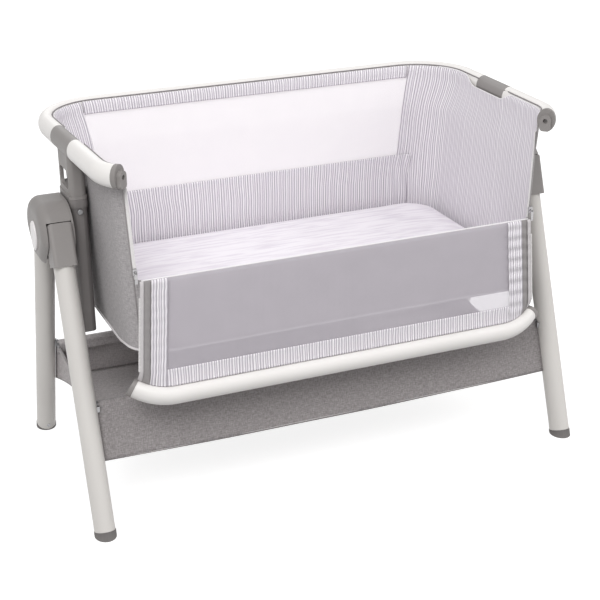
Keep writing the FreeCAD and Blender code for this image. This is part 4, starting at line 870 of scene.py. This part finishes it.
def front_net_points():
    """Net of the drop side, pulled flat with a slight belly and one soft crease near its middle."""
    inner = BORDER_WIDTH - NET_OVERLAP
    z = np.linspace(PANEL_FOOT + 1.0, HINGE_Z - 0.4, 40)[:, None]
    u = np.linspace(-1, 1, 121)[None, :]
    x = u * (panel_half(z) - inner)
    points = panel_surface(x, np.broadcast_to(z, x.shape))
    fade = np.sin(np.pi * (z - PANEL_FOOT) / (HINGE_Z - PANEL_FOOT))
    crease = NET_CREASE[2] * np.exp(-((x - NET_CREASE[0]) / NET_CREASE[1]) ** 2)
    points[..., 1] += NET_BEHIND + fade * (NET_BELLY * np.cos(u * 2.6) - crease)
    return points


cloth_piece("drop_net_cloth", front_net_points(), "front_mesh", thick=0.0,
            stand_for=["drop_net"], body="drop_side")


# ---------------------------------------------------------------- zips

def teeth(name, path, out, body, pitch=2.4, half_sizes=(1.3, 0.9, 0.7)):
    """Nylon zip teeth: one small plain block at each pitch along a path, set out to one side."""
    path = np.asarray(path, float)
    run = np.concatenate([[0], np.cumsum(np.linalg.norm(np.diff(path, axis=0), axis=1))])
    at = np.arange(1.0, run[-1] - 1.0, pitch)
    middle = np.stack([np.interp(at, run, path[:, k]) for k in range(3)], -1)
    along = np.array([0.0, 0.0, 1.0])
    out = np.asarray(out, float)
    out = out / np.linalg.norm(out)
    face = np.cross(along, out)
    corner = np.array([(a, b, c) for a in (-1, 1) for b in (-1, 1) for c in (-1, 1)], float)
    corner *= half_sizes
    block = corner[:, :1] * out + corner[:, 1:2] * face + corner[:, 2:] * along
    points = (middle[:, None] + block[None]).reshape(-1, 3)
    faces = np.array([(0, 1, 3, 2), (4, 6, 7, 5), (0, 4, 5, 1), (2, 3, 7, 6), (0, 2, 6, 4), (1, 5, 7, 3)])
    quads = (faces[None] + 8 * np.arange(len(at))[:, None, None]).reshape(-1, 4)
    mesh = bpy.data.meshes.new(name)
    mesh.from_pydata((points * MM).tolist(), [], quads.tolist())
    mesh.uv_layers.new(name="cloth")
    mesh.materials.append(FINISH["zip_white"])
    made = in_scene(name, mesh)
    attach(made, body)


def edge_line(z):
    """Front edge of the left end wall at height z."""
    t = np.zeros(z.shape)
    return np.concatenate([tub_ring(t, np.minimum(z, TUB_TOP), 0.2), z[:, None]], -1)


edge_z = np.linspace(HINGE_Z - 1.0, TUB_TOP + 5, 60)
for side_name, side in (("left", 1.0), ("right", -1.0)):
    line = edge_line(edge_z) * [side, 1.0, 1.0]
    inward = np.array([side * math.sin(math.radians(ZIP_ANGLE)), -math.cos(math.radians(ZIP_ANGLE)), 0.0])
    width = np.linspace(0, TAPE_WIDTH, 3)[None, :, None]
    grid = line[:, None] + inward * width + np.array([0.0, 1.0, 0.0])
    cloth_piece(f"edge_tape_{side_name}", grid if side > 0 else grid[:, ::-1], "zip_white",
                stand_for=["edge_zip_tapes"] if side > 0 else ())
    teeth(f"edge_teeth_{side_name}", line + inward * (TAPE_WIDTH + 0.1) + [0.0, 1.0, 0.0], inward, "cradle")
    panel_z = np.linspace(PANEL_FOOT + 8, HINGE_Z - SLIDER_ROOM, 60)
    panel_x = -side * (panel_half(panel_z) + 0.4)
    teeth(f"panel_teeth_{side_name}", panel_surface(panel_x, panel_z), [-side, 0.0, 0.0], "drop_side")


# ---------------------------------------------------------------- mattress

def merged_copy(name, node):
    """A copy of a CAD node's mesh with its loose triangles joined."""
    made = in_scene(name, nodes[node].data.copy())
    made.modifiers.new("join", "WELD").merge_threshold = JOIN_GAP
    bake_modifiers(made)
    return made


def bake_modifiers(piece):
    """Replaces the mesh with what its modifiers make."""
    graph = bpy.context.evaluated_depsgraph_get()
    graph.update()
    mesh = bpy.data.meshes.new_from_object(piece.evaluated_get(graph))
    piece.modifiers.clear()
    piece.data = mesh


def points_of(mesh):
    held = np.zeros(len(mesh.vertices) * 3)
    mesh.vertices.foreach_get("co", held)
    return held.reshape(-1, 3)


def puffed(piece, cap_mm, pressure=4.0, frames=20):
    """Swells a padded form like a filled cover: cloth with inner pressure, its movement capped."""
    before = points_of(piece.data)
    cloth = piece.modifiers.new("cover", "CLOTH")
    cloth.settings.use_pressure = True
    cloth.settings.uniform_pressure_force = pressure
    cloth.settings.effector_weights.gravity = 0.0
    cloth.settings.quality = 4
    cloth.point_cache.frame_end = frames
    for number in range(1, frames + 1):
        bpy.context.scene.frame_set(number)
    bake_modifiers(piece)
    bpy.context.scene.frame_set(1)
    moved = points_of(piece.data) - before
    far = np.linalg.norm(moved, axis=1)
    moved *= np.minimum(1.0, cap_mm * MM / np.maximum(far, 1e-9))[:, None]
    piece.data.vertices.foreach_set("co", (before + moved).astype(np.float32).ravel())


def mattress_pad():
    """Foam pad in a sewn cover: the CAD pad remeshed and swollen a little."""
    pad = merged_copy("mattress_pad", "mattress")
    remesh = pad.modifiers.new("even cells", "REMESH")
    remesh.mode = "VOXEL"
    remesh.voxel_size = PAD_CELL
    bake_modifiers(pad)
    puffed(pad, PAD_SWELL)
    pad.data.materials.clear()
    pad.data.materials.append(FINISH["mattress_cover"])
    pad.data.shade_smooth()
    soft = pad.modifiers.new("soft", "SUBSURF")
    soft.levels = soft.render_levels = 1
    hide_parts("mattress")
    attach(pad, "cradle")


mattress_pad()


# ---------------------------------------------------------------- storage basket

def leg_line(z):
    """Distance of the legs' middle lines from the crib's middle plane at height z."""
    return FOOT_SPREAD * (1.0 - z / LEG_APEX)


def basket_side_points(side):
    """Front or rear cloth: up the outside, over the cross tube and down inside as its hem."""
    rail_z = BASKET_TOP - BASKET_RAIL - 1.0
    rail_in = 2 * BASKET_CLOTH + BASKET_RAIL + 0.9
    outside = np.linspace(BASKET_BOTTOM + 0.5, rail_z - 3, 14)
    over = np.radians(np.linspace(180, 0, 12))
    inside = np.linspace(rail_z - 3, rail_z - BASKET_HEM, 5)
    reach = BASKET_RAIL + 1.3
    wall_depth = BASKET_CLOTH + np.linspace(0, 1, 14) ** 6 * (rail_in - reach - BASKET_CLOTH)
    depth = np.concatenate([wall_depth, rail_in + reach * np.cos(over), np.full(5, rail_in + reach - 1.5)])
    z = np.concatenate([outside, rail_z + reach * np.sin(over), inside])
    u, z = np.linspace(-1, 1, 90)[None, :], z[:, None]
    bow = 1 - u ** 2
    sag = BASKET_SAG * bow * (1 - (z - BASKET_BOTTOM) / (BASKET_TOP - BASKET_BOTTOM)).clip(0, 1)
    pull = 1.2 * np.sin(u * 9.0) * np.exp(-((z - 150) / 40.0) ** 2) * bow
    y = leg_line(z) - depth[:, None] + pull
    points = np.stack(np.broadcast_arrays(u * BASKET_HALF, side * y, z - sag), -1)
    return points if side < 0 else points[:, ::-1]


# the rear cloth, seen from inside the basket, takes the lighter copy of the basket cloth: painted light
for name, side, body in (("rear", 1.0, "stand"), ("front", -1.0, "front_legs")):
    cloth_piece(f"basket_{name}_cloth", basket_side_points(side), "basket_cloth",
                finish=BASKET_PAINTED_LIGHT if side > 0 else None,
                stand_for=[f"basket_{name}"], body=body)


def folds_with_legs(piece):
    """Bakes the piece's place into its mesh; cloth between the rear and the front legs does not follow them
    as the stand folds.
    """
    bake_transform(piece)


def basket_floor_points():
    reach = leg_line(BASKET_BOTTOM) - 1.4
    u, v = np.meshgrid(np.linspace(-1, 1, 90), np.linspace(-1, 1, 30))
    z = BASKET_BOTTOM + 1.2 - BASKET_SAG * (1 - u ** 2) * (0.55 + 0.45 * (1 - v ** 2))
    z = z + 0.7 * np.sin(u * 11 + v * 2.0) * (1 - v ** 2) * (1 - u ** 2)
    half = BASKET_HALF - BASKET_BOW * (1 - v ** 4)
    return np.stack([u * half, v * reach, z], -1)


# the floor takes the lighter copy of the basket cloth: painted light
floor_cloth = cloth_piece("basket_floor_cloth", basket_floor_points(), "basket_cloth",
                          finish=BASKET_PAINTED_LIGHT,
                          stand_for=["basket_floor"], body=None)
folds_with_legs(floor_cloth)


def basket_end_top(v):
    """Top edge of an end: level with the legs' hems and hollowed between them."""
    return BASKET_TOP - BASKET_HOLLOW * (1 - np.abs(v) ** 4)


def basket_end_points():
    v = np.linspace(-1, 1, 60)[None, :]
    rise = np.linspace(0, 1, 16)[:, None]
    z = BASKET_BOTTOM + 0.8 + (basket_end_top(v) - BASKET_BOTTOM - 0.8) * rise
    y = v * (leg_line(z) - 3.6)
    x = -BASKET_HALF + 0.8 + BASKET_BOW * (1 - v ** 4) * (1 - 0.35 * rise)
    return np.stack(np.broadcast_arrays(x, y, z), -1)


# the ends take the lighter copy of the basket cloth: painted light
for side, grid in both_sides(basket_end_points()):
    sheet = cloth_piece(f"basket_end_cloth_{side}", grid, "basket_cloth",
                        finish=BASKET_PAINTED_LIGHT, stand_for=[f"basket_end_{side}"],
                        body=None)
    folds_with_legs(sheet)
    binding = tube_along(f"basket_binding_{side}", grid[-1], BINDING, GREY_BINDING, sides=8,
                         body=None)
    folds_with_legs(binding)


# ---------------------------------------------------------------- leg screws

def leg_screw(name, side):
    """Plain pan-head screw near a rear foot, lathed from its profile, on the leg's front face."""
    middle = np.array([side * LEG_X, leg_line(SCREW_HEIGHT), SCREW_HEIGHT])
    lean = math.atan2(FOOT_SPREAD, LEG_APEX)
    out = np.array([0.0, -math.cos(lean), -math.sin(lean)])
    base = middle + out * (LEG_HALF_DEPTH - 0.3)
    profile = np.array(SCREW_PROFILE)
    turn = np.linspace(0, 2 * np.pi, 24, endpoint=False)
    first = np.array([1.0, 0.0, 0.0])
    second = np.cross(out, first)
    ring = np.cos(turn)[None, :, None] * first + np.sin(turn)[None, :, None] * second
    points = base + profile[:, :1, None] * ring + profile[:, 1:, None] * out
    made = grid_piece(name, points, FINISH["steel"], closed=True)
    made.modifiers.new("closed", "WELD").merge_threshold = JOIN_GAP
    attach(made, "stand")


leg_screw("foot_screw_left", -1.0)
leg_screw("foot_screw_right", 1.0)


# ---------------------------------------------------------------- floor, light and camera

def floor_finish():
    """Plain pale paper floor: a white matt surface that keeps a soft shadow, lifted for the eye only."""
    made, tree = begin("paper_floor")
    path = add(tree, "LightPath", output=None).outputs
    larger = {"operation": "MAXIMUM"}
    seen = add(tree, "Math", {0: path["Is Camera Ray"], 1: path["Is Glossy Ray"]}, larger)
    seen = add(tree, "Math", {0: seen, 1: path["Is Transmission Ray"]}, larger)
    matt = add(tree, "BsdfDiffuse", {"Color": linear("#B4B4B4")})
    glow = add(tree, "Emission", {"Strength": add(tree, "Math", {0: seen, 1: FLOOR_GLOW}, MULTIPLY)})
    both = add(tree, "AddShader", {0: matt, 1: glow})
    add(tree, "OutputMaterial", {"Surface": both}, output=None)
    return made


def make_floor():
    ends = (-FLOOR_REACH, FLOOR_REACH)
    corners = [[(x, y, -FLOOR_DROP) for x in ends] for y in ends]
    floor = grid_piece("floor", np.array(corners), floor_finish())


def make_world():
    """Even studio surround: plain pale light, and pure white where the camera looks past the floor."""
    world = bpy.data.worlds.new("studio")
    bpy.context.scene.world = world
    world.use_nodes = True
    tree = world.node_tree
    tree.nodes.clear()
    path = add(tree, "LightPath", output=None).outputs
    rays = {0: path["Is Camera Ray"], 1: path["Is Transmission Ray"]}
    seen = add(tree, "Math", rays, {"operation": "MAXIMUM"})
    lit = add(tree, "Background", {"Color": linear("#FFFFFF"), "Strength": SURROUND})
    white = add(tree, "Background", {"Color": linear("#FFFFFF"), "Strength": 1.0})
    add(tree, "OutputWorld", {"Surface": add(tree, "MixShader", {0: seen, 1: lit, 2: white})}, output=None)


def area_light(name, place, size, power):
    light = bpy.data.lights.new(name, "AREA")
    light.shape = "DISK"
    light.size = size
    light.energy = power
    made = in_scene(name, light)
    made.location = place
    made.rotation_euler = (Vector(LIGHT_AIM) - Vector(place)).to_track_quat("-Z", "Y").to_euler()


def make_camera():
    """Pinhole camera at the solved place: back, right and up axes from azimuth, elevation and roll."""
    azimuth, elevation, roll = np.radians([CAMERA_AZIMUTH, CAMERA_ELEVATION, CAMERA_ROLL])
    back = np.array([math.sin(azimuth) * math.cos(elevation), -math.cos(azimuth) * math.cos(elevation),
                     math.sin(elevation)])
    right = np.array([math.cos(azimuth), math.sin(azimuth), 0.0])
    up = np.cross(back, right)
    right, up = (math.cos(roll) * right + math.sin(roll) * up, -math.sin(roll) * right + math.cos(roll) * up)
    place = CAMERA_AIM - CAMERA_SLIDE[0] * right - CAMERA_SLIDE[1] * up + CAMERA_DISTANCE * back
    data = bpy.data.cameras.new("camera")
    data.sensor_width = SENSOR
    data.lens = SENSOR * CAMERA_FOCAL_PIXELS / PICTURE_PIXELS
    data.clip_start, data.clip_end = 0.05, 100.0
    made = in_scene("camera", data)
    turn = Matrix([list(row) for row in np.stack([right, up, back], 1)]).to_4x4()
    made.matrix_world = Matrix.Translation(Vector(place * MM)) @ turn
    bpy.context.scene.camera = made


make_floor()
make_world()
area_light("key", (-1.6, -2.4, 3.0), 2.2, 70.0)
area_light("fill", (2.6, -1.6, 2.2), 2.5, 27.0)
area_light("behind", (0.4, 3.0, 2.2), 2.5, 16.0)
make_camera()
bpy.context.scene.view_settings.view_transform = "Standard"
